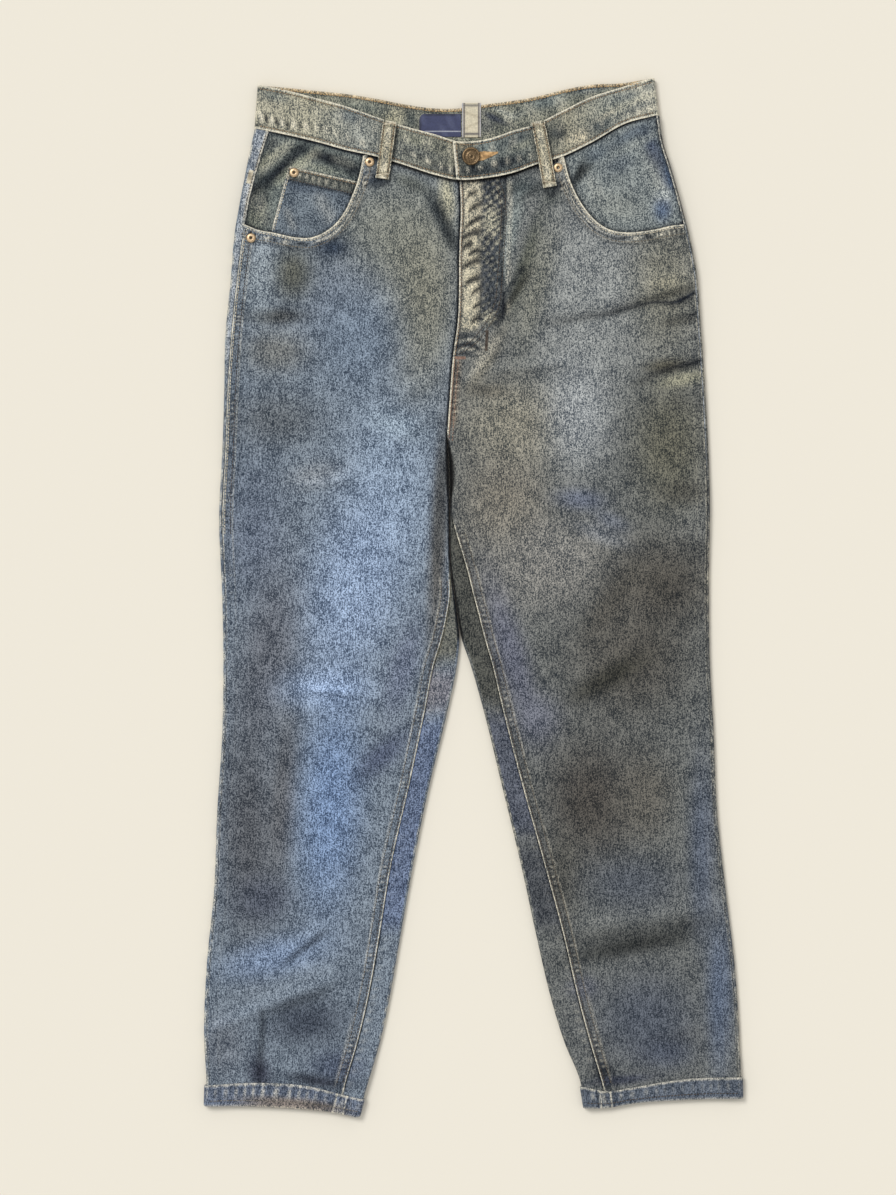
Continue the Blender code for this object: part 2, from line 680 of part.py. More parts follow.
def ring(name, outer, inner, finish):
    """A closed band: the last column of each grid meets the first."""
    rows, columns = outer.shape[:2]
    columns -= 1
    outer, inner = outer[:, :columns].reshape(-1, 3), inner[:, :columns].reshape(-1, 3)
    count = rows * columns
    faces = []
    for c in range(columns):
        d = (c + 1) % columns
        for r in range(rows - 1):
            a, b, e, f = r * columns + c, r * columns + d, (r + 1) * columns + d, (r + 1) * columns + c
            faces.append((a, b, e, f))
            faces.append((f + count, e + count, b + count, a + count))
        faces.append((d, c, c + count, d + count))
        last = (rows - 1) * columns
        faces.append((last + c, last + d, last + d + count, last + c + count))
    return add(name, np.concatenate([outer, inner]), faces, finish)


BAND_SKIN, BAND_BACK = 7.8, 1.5  # heights of the band's skin on the front and under the back
LAP_RISE = BAND + SEAM_GAP
LAP_END, LAP_FLAT, LAP_LOW = -16.5, 30.0, 64.0  # the buttonhole end, and where its lift fades out
UNDERLAP_END = 26.0
BAND_SIDES = {"left": -207.0, "right": 174.8}  # where the band starts to fold round
SLOT_LOW, SLOT_HIGH = 0.54, 0.63  # the buttonhole's two edges, as shares of the band's width
BAND_SHARES = (0.0, 0.3, SLOT_LOW, SLOT_HIGH, 0.8, 1.0)
BAND_CROWN, BAND_WIDE = 0.35, 3.0  # how far the band bulges across its width, and its folds' reach
LEAN_COLUMNS = ("from_x", "to_x", "lean")
LEANS = ((-150.0, -207.0, 3.0), (120.0, 175.0, -4.5))  # the band's side ends lean in with the garment
LAP_LEAN = 3.5  # and so does the buttonhole end


def waistband():
    """Waistband: one strip from the buttonhole end round the back to the button end beneath."""
    shares = np.array(BAND_SHARES)
    outer, inner = [], []
    left, right = LEGS["left"], LEGS["right"]

    def across(x, low, high):
        """Places from the lower to the upper edge."""
        rows = [dict(zip(LEAN_COLUMNS, row)) for row in LEANS]
        lean = sum(row["lean"] * smooth((x - row["from_x"]) / (row["to_x"] - row["from_x"])) for row in rows)
        xs = x + lean * shares
        ys = low + (high - low) * shares
        return xs, ys

    def front_run(x, lapped):
        half = SEAM_GAP / 2
        xs, ys = across(x, front_seam(x) + half, front_top(x))
        z = BAND_SKIN + BAND_CROWN * np.sin(np.pi * shares)
        if lapped:
            z = z + LAP_RISE * smooth((LAP_LOW - x) / (LAP_LOW - LAP_FLAT))
            xs = xs - LAP_LEAN * smooth((LAP_FLAT - x) / (LAP_FLAT - LAP_END)) * shares
        outer.append(np.stack([xs, ys, z], 1))
        inner.append(np.stack([xs, ys, z - BAND], 1))

    def back_run(x):
        xs, ys = across(x, back_seam(x) + SEAM_GAP / 2, back_top(x))
        z = np.full(len(xs), BAND_BACK)
        outer.append(np.stack([xs, ys, z], 1))
        inner.append(np.stack([xs, ys, z + BAND], 1))

    def side_fold(leg, angles):
        x = BAND_SIDES[leg.name]
        xs, ys = across(x, front_seam(x) + SEAM_GAP / 2, front_top(x))
        middle, tall = (BAND_SKIN + BAND_BACK) / 2, (BAND_SKIN - BAND_BACK) / 2
        for angle in angles:
            turn = math.radians(angle)
            for grid, off in ((outer, 0.0), (inner, BAND)):
                folded_x = xs + leg.out * (BAND_WIDE - off) * math.cos(turn)
                height = middle + (tall - off) * math.sin(turn)
                grid.append(np.stack([folded_x, ys, np.full(len(xs), height)], 1))

    lap_x = sorted((LAP_END, *WAIST_STOPS["right"], BAND_SIDES["right"]))
    for x in lap_x:
        front_run(x, True)
    side_fold(right, FOLD_ANGLES)
    under = [float(x) for leg in (left, right) for x in bottom_stations(leg, BAND_Y)[:-1]]
    for x in [BAND_SIDES["right"]] + sorted(under, reverse=True) + [BAND_SIDES["left"]]:
        back_run(x)
    side_fold(left, FOLD_ANGLES[::-1])
    for x in (BAND_SIDES["left"], *WAIST_STOPS["left"], 3.0, UNDERLAP_END):
        front_run(x, False)
    skin, inside = np.stack(outer, 1), np.stack(inner, 1)
    keep = np.ones((len(shares) - 1, skin.shape[1] - 1), bool)
    keep[BAND_SHARES.index(SLOT_LOW), lap_x.index(BUTTONHOLE[0])] = False
    return wall("waistband", skin, inside, "denim", keep)


# Drop of the pocket facings below the front panels' skin: at the waistband seam, more from DROP_BELOW
# under it, and none at the outseam, from DROP_ASIDE inwards
DROP_AT_SEAM, DROP_BELOW, DROP_ASIDE = 1.0, 22.0, 8.0
DROP_MORE = {"left": 2.7, "right": 1.8}  # the coin pocket needs more room


def facing_drop(leg, x, y):
    """How far the pocket facing lies below the front panel's skin."""
    from_seam = (leg.outseam(y) - x) * leg.out
    deep = smooth((front_seam(x) - y) / DROP_BELOW)
    return (DROP_AT_SEAM + DROP_MORE[leg.name] * deep) * smooth(from_seam / DROP_ASIDE)


def under_mouth(leg, reach):
    """The pocket mouth moved under the front panel, square to its line."""
    along = np.gradient(leg.mouth, axis=0)
    along /= np.linalg.norm(along, axis=1)[:, None]
    side = np.stack([along[:, 1], -along[:, 0]], 1) * -leg.out
    return leg.mouth + side * np.asarray(reach)[:, None]


def between(near, far, shares):
    """A grid of places from one line to another."""
    return np.stack([near + (far - near) * s for s in shares])


def pocket_facing(leg):
    """Denim facing in the pocket mouth, from under the front panel to the outseam and waistband.
    Its corners stay just outside the mouth, where three pieces meet."""
    half = SEAM_GAP / 2
    reach = np.array([-0.3, 0.2, 9, 12, 12, 12, 12, 12, 11, 8, -0.3])
    near = under_mouth(leg, reach)
    corner_y = front_seam(leg.outseam(BAND_Y)) - half
    corner_x, past = leg.outseam(corner_y) - leg.out * half, leg.mouth[-1, 0] + leg.out * SEAM_GAP
    stops = [x for x in WAIST_STOPS[leg.name] if (corner_x - x) * leg.out > 4 and (x - past) * leg.out > 1]
    waist_x = np.array(stops + [past])
    waist = np.stack([waist_x, front_seam(waist_x) - half], 1)
    seam_x = leg.outseam(YOKE_ROWS)
    rows = yoke_rows(seam_x, front_seam(seam_x))
    rows[-1] = corner_y
    start = (MOUTH_Y + 6, (MOUTH_Y + rows[0]) / 2)
    seam_y = np.concatenate([start[2 - (len(near) - len(waist) - 4) :], rows])
    seam = np.stack([leg.outseam(seam_y) - leg.out * half, seam_y], 1)
    near[-1] = waist[-1] - [0, 10]
    near[-1, 0] = np.interp(near[-1, 1], leg.mouth[:, 1][-3:], leg.mouth[:, 0][-3:]) + leg.out * 0.5
    xy = between(near, np.concatenate([seam, waist]), (0, 0.22, 0.45, 0.72, 1))
    z = leg.top(xy[..., 0], xy[..., 1]) - facing_drop(leg, xy[..., 0], xy[..., 1])
    skin = np.dstack([xy, z])
    return wall(f"pocket_facing_{leg.name}", skin, sunk(skin, CLOTH), "denim_light")


def coin_pocket():
    """Coin pocket on the left facing. Its lower part goes under the front panel's mouth."""
    leg = LEGS["left"]
    near = under_mouth(leg, np.full(len(leg.mouth), 8.0))[2:9]
    corner = np.array(COIN_TOP_LEFT)
    left = [np.array(COIN_BOTTOM_LEFT) + (corner - COIN_BOTTOM_LEFT) * s for s in (0, 0.5)]
    top = [corner + (np.array(COIN_TOP_RIGHT) - corner) * s for s in (0, 0.25, 0.5, 0.75, 1)]
    xy = between(near, np.array(left + top), (0, 0.3, 0.6, 0.84, 0.86, 1))
    z = leg.top(xy[..., 0], xy[..., 1]) - facing_drop(leg, xy[..., 0], xy[..., 1]) + COIN_PROUD
    z[4:, 2:] += COIN_HEM
    skin = np.dstack([xy, z])
    bottom = sunk(skin, CLOTH)
    bottom[4:, 2:, 2] -= COIN_HEM
    return wall("coin_pocket", skin, bottom, "denim_dark")


def strip(name, along, width, height, thickness, finish):
    """A narrow strip along a line of points in plan. height gives its skin at each point."""
    along = np.array(along, float)
    run = np.gradient(along, axis=0)
    run /= np.linalg.norm(run, axis=1)[:, None]
    side = np.stack([run[:, 1], -run[:, 0]], 1)
    columns = [along + side * offset for offset in (-width / 2, width / 2)]
    grid = np.stack([np.column_stack([c, height]) for c in columns], 1)
    return shell(name, grid, thickness, finish)


def front_loop(leg, top, bottom):
    """Belt loop over the front of the band, tacked above it and below its seam."""
    shares = np.array([0, 0.1, 0.25, 0.45, 0.6, 0.72, 0.86, 1])
    line = np.array(top) + (np.array(bottom) - top) * shares[:, None]
    on_band = BAND_SKIN + BAND_CROWN * np.sin(np.pi * np.clip(shares / LOOP_ON_BAND, 0, 1))
    if leg.name == "right":
        on_band = on_band + LAP_RISE * smooth((LAP_LOW + 3 - line[:, 0]) / (LAP_LOW - LAP_FLAT))
    sides = [leg.top(line[:, 0] + off, line[:, 1]) for off in (-LOOP_WIDTH / 2, LOOP_WIDTH / 2)]
    under = np.where(shares < LOOP_ON_BAND, on_band, np.maximum(*sides))
    spring = LOOP_SPRING * np.sin(np.pi * np.clip((shares - 0.05) / 0.9, 0, 1))
    height = under + LOOP_SEAT + LOOP + spring
    strip(f"belt_loop_front_{leg.name}", line, LOOP_WIDTH, height, LOOP, "denim")


def back_loop(name, x):
    """Belt loop on the underside, from below the band's seam to its top edge."""
    y = np.linspace(back_top(x) - 1, back_seam(x) - 13, 4)
    line = np.stack([np.full(4, x), y], 1)
    strip(f"belt_loop_back_{name}", line, LOOP_WIDTH, np.full(4, CLOTH), CLOTH, "denim")


def back_pocket(leg):
    """Patch pocket on the underside, a pentagon with its point towards the hem."""
    p = leg.pocket
    shares = np.linspace(-1, 1, 5)
    top = np.stack([p["x"] + shares * p["width"] / 2, np.full(5, p["top"])], 1)
    sides = p["side"] + (p["point"] - p["side"]) * (1 - np.abs(shares))
    low = np.stack([p["x"] + shares * (p["width"] / 2 - 8), p["top"] - sides], 1)
    xy = between(low, top, (0, 0.5, 1))
    shell(f"back_pocket_{leg.name}", np.dstack([xy, np.full(xy.shape[:2], CLOTH)]), CLOTH, "denim")


# Pieces behind the fly: lower and upper end, offset from the fly's edge, width, skin height, thickness
FLY_PART_COLUMNS = ("low", "high", "beside", "width", "skin", "thickness", "finish")
FLY_PARTS = {
    "fly_shield": (237.0, 394.0, 4.5, 27.0, 2.75, CLOTH, "denim"),
    "fly_zip": (243.0, 390.0, 13.0, 20.0, 3.85, 0.8, "cotton_tape"),
}


def fly_part(name):
    """Shield or zip behind the closed fly."""
    size = dict(zip(FLY_PART_COLUMNS, FLY_PARTS[name]))
    y = np.linspace(size["low"], size["high"], 6)
    line = np.stack([fly_edge(y) + size["beside"], y], 1)
    strip(name, line, size["width"], np.full(6, size["skin"]), size["thickness"], size["finish"])


LABEL_COLUMNS = ("x", "top", "bottom", "width", "thickness", "finish")
LABELS = {
    "label_neck": (-32.0, 463.0, 441.0, 40.0, 0.5, "cotton_tape"),
    "label_size": (-2.0, 473.5, 440.5, 18.0, 0.6, "satin_label"),
}


def label(name):
    """Bare woven label or folded size label, on the inside of the band's back."""
    size = dict(zip(LABEL_COLUMNS, LABELS[name]))
    line = [(size["x"], y) for y in np.linspace(size["top"], size["bottom"], 3)]
    skin = BAND_BACK + BAND + SEAM_GAP + size["thickness"]
    strip(name, line, size["width"], np.full(3, skin), size["thickness"], size["finish"])


def turned(name, profile, place, finish):
    """A turned piece from its profile of radius and height, from the top to the foot."""
    mesh = bpy.data.meshes.new(name)
    points = [(radius * MM, 0, height * MM) for radius, height in profile]
    mesh.from_pydata(points, [(i, i + 1) for i in range(len(points) - 1)], [])
    mesh.materials.append(material(finish))
    thing = bpy.data.objects.new(name, mesh)
    thing.location = [value * MM for value in place]
    JEANS.objects.link(thing)
    screw = thing.modifiers.new("turn", "SCREW")
    screw.steps = 24
    screw.render_steps = 24
    screw.use_merge_vertices = True
    screw.merge_threshold = 0.00002
    screw.use_smooth_shade = True
    return thing


def button():
    """Shank button: its shank goes through the buttonhole down to the button end of the band."""
    foot = BAND_SKIN + BAND_CROWN + SEAM_GAP
    head = foot + LAP_RISE
    r = BUTTON_RADIUS
    profile = (
        (0, head + 2.2),
        (r * 0.55, head + 2.2),
        (r * 0.74, head + 2.0),
        (r * 0.8, head + 2.7),
        (r * 0.93, head + 2.6),
        (r, head + 1.7),
        (r * 0.97, head + 0.5),
        (r * 0.86, head),
        (SHANK_RADIUS, head),
        (SHANK_RADIUS, foot),
        (0, foot),
    )
    turned("button", profile, (*BUTTON_PLACE, 0), "brass")


def rivet(name, x, y):
    """Domed rivet cap, seated on the highest skin under its rim."""
    leg = LEGS["left" if x < 0 else "right"]
    round_x = x + RIVET_RADIUS * np.cos(np.linspace(0, 2 * np.pi, 13))
    round_y = y + RIVET_RADIUS * np.sin(np.linspace(0, 2 * np.pi, 13))
    skin = leg.top(round_x, round_y)
    if name == "rivet_coin":
        skin = skin - facing_drop(leg, round_x, round_y) + COIN_PROUD + COIN_HEM
    seat = float(skin.max()) + SEAM_GAP + 0.1
    profile = (
        (0, RIVET_HEIGHT),
        (RIVET_RADIUS * 0.3, RIVET_HEIGHT * 0.97),
        (RIVET_RADIUS * 0.45, RIVET_HEIGHT * 0.72),
        (RIVET_RADIUS * 0.8, RIVET_HEIGHT * 0.66),
        (RIVET_RADIUS, RIVET_HEIGHT * 0.3),
        (RIVET_RADIUS, 0),
        (0, 0),
    )
    turned(name, profile, (x, y, seat), "brass")


for side_leg in LEGS.values():
    front_panel(side_leg)
    back_panel(side_leg)
    yoke(side_leg)
    cuff(side_leg)
    pocket_facing(side_leg)
    back_pocket(side_leg)
    front_loop(side_leg, *FRONT_LOOPS[side_leg.name])
coin_pocket()
waistband()
button()
for part_name in FLY_PARTS:
    fly_part(part_name)
for label_name in LABELS:
    label(label_name)
for loop_name, loop_x in BACK_LOOPS.items():
    back_loop(loop_name, loop_x)
for rivet_name, rivet_place in RIVETS.items():
    rivet(rivet_name, *rivet_place)
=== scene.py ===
"""High-waisted tapered jeans, laid flat with the front up and seen from straight above.

All tables are in millimetres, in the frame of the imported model: +X to the right of the picture, +Y to
the waist, +Z up. Left and right are as seen from above.
"""

import math

import bpy
import mathutils
import numpy as np
from mathutils.bvhtree import BVHTree
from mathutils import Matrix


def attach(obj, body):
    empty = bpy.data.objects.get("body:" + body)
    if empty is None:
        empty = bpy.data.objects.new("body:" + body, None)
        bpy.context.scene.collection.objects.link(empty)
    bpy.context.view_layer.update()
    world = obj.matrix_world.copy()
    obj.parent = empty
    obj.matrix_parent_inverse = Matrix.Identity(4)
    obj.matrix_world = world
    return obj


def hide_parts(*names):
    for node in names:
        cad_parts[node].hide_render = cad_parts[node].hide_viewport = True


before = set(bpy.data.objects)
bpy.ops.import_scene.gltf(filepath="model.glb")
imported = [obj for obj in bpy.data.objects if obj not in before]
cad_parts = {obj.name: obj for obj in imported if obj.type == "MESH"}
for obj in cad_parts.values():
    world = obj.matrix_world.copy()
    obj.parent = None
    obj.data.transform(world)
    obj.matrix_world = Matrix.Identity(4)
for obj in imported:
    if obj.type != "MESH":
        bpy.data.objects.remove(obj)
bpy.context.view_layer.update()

# Floor, light and camera.
# A plain cream table top, one soft slanting light from the upper left and an even sky. The camera looks
# straight down, and one pixel of the photograph is 0.96 mm on the table.
MM = 0.001
PIXEL, PICTURE_TALL = 0.96, 1195
VIEW_MIDDLE, VIEW_FROM, SENSOR = (-24.5, -0.5), 3000.0, 24.0
TABLE_HALF, TABLE_Z = 4, -0.0003  # metres
SKY_LIGHT, SUN_LIGHT, SUN_SPREAD, SUN_WAY = 0.62, 1.535, 24, (0.8, -0.8, -1.4)


class Finish:
    """A material, and short ways to add nodes to it. A value is a plain one or another node's output."""

    def __init__(self, name):
        """Starts a material with one Principled shader."""
        self.material = bpy.data.materials.new(name)
        self.material.use_nodes = True
        self.tree = self.material.node_tree
        self.shader = self.tree.nodes["Principled BSDF"]

    def put(self, socket, value):
        """Joins the socket to the value's node, or gives it the plain value."""
        if hasattr(value, "node"):
            self.tree.links.new(value, socket)
        else:
            socket.default_value = value

    def node(self, kind, out, **settings):
        """One output of a new node. Settings are the names of its inputs or of its own properties."""
        new = self.tree.nodes.new(kind)
        for key, value in settings.items():
            if hasattr(new, key) and key not in new.inputs:
                setattr(new, key, value)
            else:
                self.put(new.inputs[key], value)
        return new.outputs[out]

    def math(self, kind, a, b):
        """a and b added, multiplied and so on."""
        new = self.tree.nodes.new("ShaderNodeMath")
        new.operation = kind
        for socket, value in zip(new.inputs, (a, b)):
            self.put(socket, value)
        return new.outputs[0]

    def mix(self, kind, share, a, b):
        """Two colours mixed or multiplied by a share."""
        new = self.tree.nodes.new("ShaderNodeMix")
        new.data_type, new.blend_type = "RGBA", kind
        for place, value in zip((0, 6, 7), (share, a, b)):
            self.put(new.inputs[place], value)
        return new.outputs[2]

    def ramp(self, factor, *stops):
        """A colour between two stops, each a position and a colour."""
        new = self.tree.nodes.new("ShaderNodeValToRGB")
        for element, (position, colour) in zip(new.color_ramp.elements, stops):
            element.position, element.color = position, colour
        self.put(new.inputs["Fac"], factor)
        return new.outputs["Color"]

    def bump(self, height, strength, distance):
        """Lifts the surface by a pattern; distance is in metres."""
        lift = self.node("ShaderNodeBump", "Normal", Height=height, Strength=strength, Distance=distance)
        self.put(self.shader.inputs["Normal"], lift)

    def shade(self, sockets):
        """Sets or joins the shader's own sockets by name."""
        for name, value in sockets.items():
            self.put(self.shader.inputs[name], value)


table_top = bpy.data.meshes.new("table_top")
corners = [(x * TABLE_HALF, y * TABLE_HALF, TABLE_Z) for x, y in ((-1, -1), (1, -1), (1, 1), (-1, 1))]
table_top.from_pydata(corners, [], [(0, 1, 2, 3)])
floor = bpy.data.objects.new("floor", table_top)
bpy.context.collection.objects.link(floor)
cream = Finish("cream_table")
cream.shade({"Base Color": (0.863, 0.812, 0.70, 1), "Roughness": 0.9})
table_top.materials.append(cream.material)

sky = bpy.data.worlds.new("soft_sky")
bpy.context.scene.world = sky
sky.use_nodes = True
sky.node_tree.nodes["Background"].inputs["Color"].default_value = (1.0, 1.0, 1.0, 1)
sky.node_tree.nodes["Background"].inputs["Strength"].default_value = SKY_LIGHT

lamp_data = bpy.data.lights.new("window", "SUN")
lamp_data.angle, lamp_data.energy = math.radians(SUN_SPREAD), SUN_LIGHT
lamp = bpy.data.objects.new("window", lamp_data)
lamp.rotation_euler = mathutils.Vector(SUN_WAY).to_track_quat("-Z", "Y").to_euler()
bpy.context.collection.objects.link(lamp)

camera_data = bpy.data.cameras.new("overhead")
camera_data.sensor_fit, camera_data.sensor_height = "VERTICAL", SENSOR
camera_data.lens = SENSOR * VIEW_FROM / (PICTURE_TALL * PIXEL)
camera = bpy.data.objects.new("overhead", camera_data)
camera.location = [v * MM for v in (*VIEW_MIDDLE, VIEW_FROM)]
bpy.context.collection.objects.link(camera)
bpy.context.scene.camera = camera
bpy.context.scene.view_settings.view_transform = "Standard"

# Front panels.
# Cotton denim in a right-hand twill, cut to the pocket mouth and felled to the back panels along both
# seams. Their skin is the pressed leg: low over the thigh, sprung up at its folded edges, with creases.
SEAM_GAP, CLOTH, CUFF, FOLD_RADIUS = 0.3, 1.2, 1.6, 2.6
CROTCH_Y, SEAT_X, MOUTH_Y, HEM_Y, YOKE_Y = 151.0, -24.0, 356.5, -487.0, 385.0
FORK_Y, FORK_RAMP = 60.0, 90.0  # from where and over what height the underside lines up with the back pocket
SIDE = {  # y, outer edge, how far the outseam lies inside it
    "left": (
        (-487, -256.8, 3.2), (-460, -256.3, 3.2), (-430, -258.2, 3.2), (-355, -256.0, 3.2),
        (-280, -248.8, 3.2), (-205, -245.8, 3.2), (-130, -241.0, 3.2), (-60, -240.0, 3.2),
        (0, -241.0, 3.2), (75, -244.0, 3.2), (150, -240.5, 3.2), (200, -239.0, 3.4),
        (250, -238.0, 6.0), (300, -233.2, 6.2), (356, -228.0, 9.0), (389, -222.0, 9.4),
        (423, -215.3, 12.3), (448, -210.0, 14.5), (490, -207.0, 14.5),
    ),
    "right": (
        (-482, 256.8, 3.2), (-430, 255.4, 3.2), (-355, 250.6, 3.2), (-280, 241.6, 3.2),
        (-205, 233.6, 3.2), (-130, 230.4, 3.2), (-60, 226.6, 3.2), (0, 225.8, 3.2),
        (100, 226.6, 3.2), (190, 222.7, 3.2), (265, 217.6, 3.2), (310, 214.0, 3.2),
        (350, 206.0, 3.2), (381, 198.0, 3.2), (410, 190.0, 3.2), (435, 182.0, 3.2),
        (461, 178.0, 3.2), (497, 173.5, 3.2),
    ),
}
INNER = {  # y, inseam, inner edge
    "left": (
        (-500, -132.3, -111.2), (-460, -121.0, -99.5), (-430, -112.0, -90.5), (-380, -100.0, -79.7),
        (-330, -91.0, -71.0), (-255, -78.5, -57.6), (-180, -61.5, -42.2), (-105, -45.7, -24.0),
        (-62, -37.2, -15.4), (-40, -30.4, -13.6), (-18, -25.6, -15.7), (0, -22.6, -18.2),
        (32, -23.9, -22.3), (50, -24.5, -22.9), (73, -24.8, -23.2), (90, -24.7, -23.1),
        (120, -25.4, -23.8), (151, -27.0, -25.4),
    ),
    "right": (
        (-500, 132.8, 108.5), (-460, 121.5, 101.0), (-430, 112.5, 88.3), (-380, 99.0, 73.0),
        (-330, 87.5, 61.4), (-255, 67.5, 45.1), (-180, 46.5, 27.0), (-105, 27.2, 8.6),
        (-62, 17.0, -3.8), (-40, 10.6, -11.4), (-18, 5.0, -15.2), (0, 0.2, -17.7),
        (32, -8.0, -21.8), (50, -13.4, -22.4), (73, -19.8, -22.7), (90, -21.2, -22.6),
        (120, -21.9, -23.3), (151, -23.5, -24.9),
    ),
}
TURN_UP = {  # x, lower edge, upper edge
    "left": (
        (-259, -487.0, -468.5), (-205, -487.4, -466.3), (-160, -490.0, -469.5),
        (-129, -493.3, -476.5), (-106, -497.5, -481.5),
    ),
    "right": (
        (103, -489.0, -469.0), (128, -488.6, -474.0), (150, -485.0, -471.0),
        (200, -481.2, -463.0), (259, -479.5, -460.5),
    ),
}
WAIST = (  # x, front seam, front top, back seam, back top
    (-207, 448.0, 490.0, 448.0, 490.0), (-180, 442.5, 485.0, 447.0, 488.0),
    (-150, 435.5, 477.5, 444.0, 485.0), (-121, 427.5, 469.5, 441.0, 482.0),
    (-93, 421.5, 459.5, 436.5, 477.5), (-65, 413.0, 450.5, 431.0, 472.0),
    (-37, 404.0, 443.0, 427.3, 468.3), (-13, 399.0, 436.0, 427.5, 468.5),
    (14, 401.0, 438.0, 431.5, 472.5), (37, 405.5, 446.0, 434.5, 475.5),
    (60, 414.0, 453.0, 438.5, 479.5), (86, 422.0, 466.0, 445.0, 486.0),
    (113, 435.0, 479.0, 450.5, 491.0), (145, 453.0, 488.5, 454.5, 492.5),
    (175, 461.0, 497.0, 461.0, 497.0),
)
YOKE = (  # x, y of the yoke seam
    (-228, 408), (-130, 389), (-24, 359), (90, 391), (196, 420),
)
FLY = (  # y, x of the fly's edge
    (151, -25.8), (201, -22.2), (231, -19.7), (261, -15.6), (334, -13.8), (375, -12.4), (399, -13.6),
)
MOUTH = {  # points of the pocket mouth, from the outseam to the waist
    "left": (
        (-219.15, 356.5), (-206, 351.5), (-190, 348.5), (-172, 344.5), (-156, 344.0), (-144, 348.5),
        (-134, 355.5), (-124, 368.0), (-116, 385.0), (-110, 402.0), (-105.5, 424.4),
    ),
    "right": (
        (201.2, 356.5), (188, 355.0), (174, 352.0), (160, 349.8), (145, 349.0), (132, 351.0),
        (120, 357.5), (108, 370.0), (98, 386.0), (90.5, 405.0), (86.5, 422.1),
    ),
}
POCKET = {  # back pocket: middle x, upper edge, width, depth at the sides, depth at the point
    "left": (-130.0, 338.0, 140.0, 128.0, 146.0), "right": (90.0, 338.0, 140.0, 128.0, 146.0),
}
DRAPE = (  # distance below the waist seam, height of the top skin
    (-20, 7.1), (0, 7.1), (60, 6.7), (105, 6.5), (150, 5.3), (220, 4.1), (300, 3.7), (900, 3.7),
)
LOOP_LIFT = ((-60.0, 1.8), (0.0, 1.8), (16.0, 1.5), (36.0, 0.0))  # distance below the back seam, lift of the underside
CREASES = (  # both ends, height (a trough is negative), half-width
    (216, 294, 131, 273, -1.4, 9), (131, 273, 70, 264, -1.2, 10), (214, 312, 120, 290, 1.0, 10),
    (221, 225, 153, 203, -0.9, 9), (222, 244, 150, 226, 1.6, 9), (33, 353, 20, 261, 1.5, 9),
    (23, 243, -6, 205, 1.6, 8), (88, 225, 12, 216, 1.5, 9), (-44, 389, -19, 335, -1.2, 9),
    (-169, 107, -121, 113, 2.0, 10), (-60, 300, -110, 255, 1.5, 12), (-163, -87, -114, -91, 2.2, 9),
    (-148, -318, -186, -345, 1.6, 9), (-253, -416, -200, -395, 2.6, 12), (-200, -395, -157, -372, 2.2, 12),
    (217, 93, 165, 0, 2.2, 20), (165, 0, 112, -99, 1.8, 20), (60, 60, 120, 20, 1.6, 14),
    (95, -316, 230, -296, 2.0, 10), (130, -180, 215, -215, 1.4, 14), (-215, 60, -150, 20, 1.6, 16),
    (-200, -200, -120, -165, 1.4, 14),
)
WRINKLES = (  # smaller creases of the top layer that only show close by
    (216, 297, 180, 287, -1.8, 4), (180, 287, 132, 272, -1.6, 4), (132, 272, 71, 262, -1.0, 5),
    (214, 266, 182, 261, -1.4, 4), (221, 225, 180, 215, -1.6, 4), (180, 215, 153, 202, -1.2, 4),
    (23, 242, -6, 206, 1.2, 4), (88, 225, 12, 216, 0.9, 5), (54, 311, 22, 261, -2.2, 3),
    (-38, 384, -17, 333, -2.0, 5), (63, 399, 33, 377, 1.2, 4), (-169, 106, -121, 113, 1.0, 4),
    (-163, -88, -114, -92, 1.3, 4),
    (-143, -323, -180, -351, -2.0, 3.5), (-253, -416, -200, -391, 1.2, 6), (-200, -391, -125, -364, 1.0, 6),
    (-198, -399, -138, -378, -1.4, 6), (-201, -396, -205, -465, -1.7, 3.2), (95, -332, 230, -310, -1.2, 8),
    (-35, 214, -75, 190, 1.0, 6),
    (-30, 180, -80, 150, 0.9, 8), (12, 190, 60, 170, 1.0, 8), (-20, 130, 30, 100, 0.9, 9),
    (150, 330, 190, 322, 0.9, 5), (-215, 250, -170, 240, 1.0, 6), (-222, 220, -180, 206, 0.8, 6),
    (-100, 240, -60, 225, 0.7, 7), (190, 60, 222, 52, 1.0, 6), (-228, -60, -190, -80, 0.8, 8),
    (60, -180, 100, -200, 0.9, 7), (-150, -250, -110, -262, 0.8, 6), (170, -420, 235, -405, 1.0, 8),
)


def through(table, value):
    """A smooth function of the first column of a table: cubic stretches with averaged slopes."""
    xs, ys = np.array([row[0] for row in table], float), np.array([row[value] for row in table], float)
    slopes = np.gradient(ys, xs)

    def at(x):
        """The curve's value, held at both ends of the table."""
        x = np.clip(x, xs[0], xs[-1])
        i = np.clip(np.searchsorted(xs, x) - 1, 0, len(xs) - 2)
        step = xs[i + 1] - xs[i]
        t = (x - xs[i]) / step
        start = (2 * t**3 - 3 * t**2 + 1) * ys[i] + (t**3 - 2 * t**2 + t) * step * slopes[i]
        return start + (3 * t**2 - 2 * t**3) * ys[i + 1] + (t**3 - t**2) * step * slopes[i + 1]

    return at


def smooth(t):
    """0 to 1 with level ends: 3t^2 - 2t^3."""
    t = np.clip(t, 0, 1)
    return t * t * (3 - 2 * t)


front_seam, front_top, back_seam, back_top = (through(WAIST, k) for k in (1, 2, 3, 4))
fly_edge = through(FLY, 1)


def yoke_seam(x):
    """Two nearly straight runs that meet at the seat seam."""
    return np.interp(x, *np.array(YOKE, float).T)


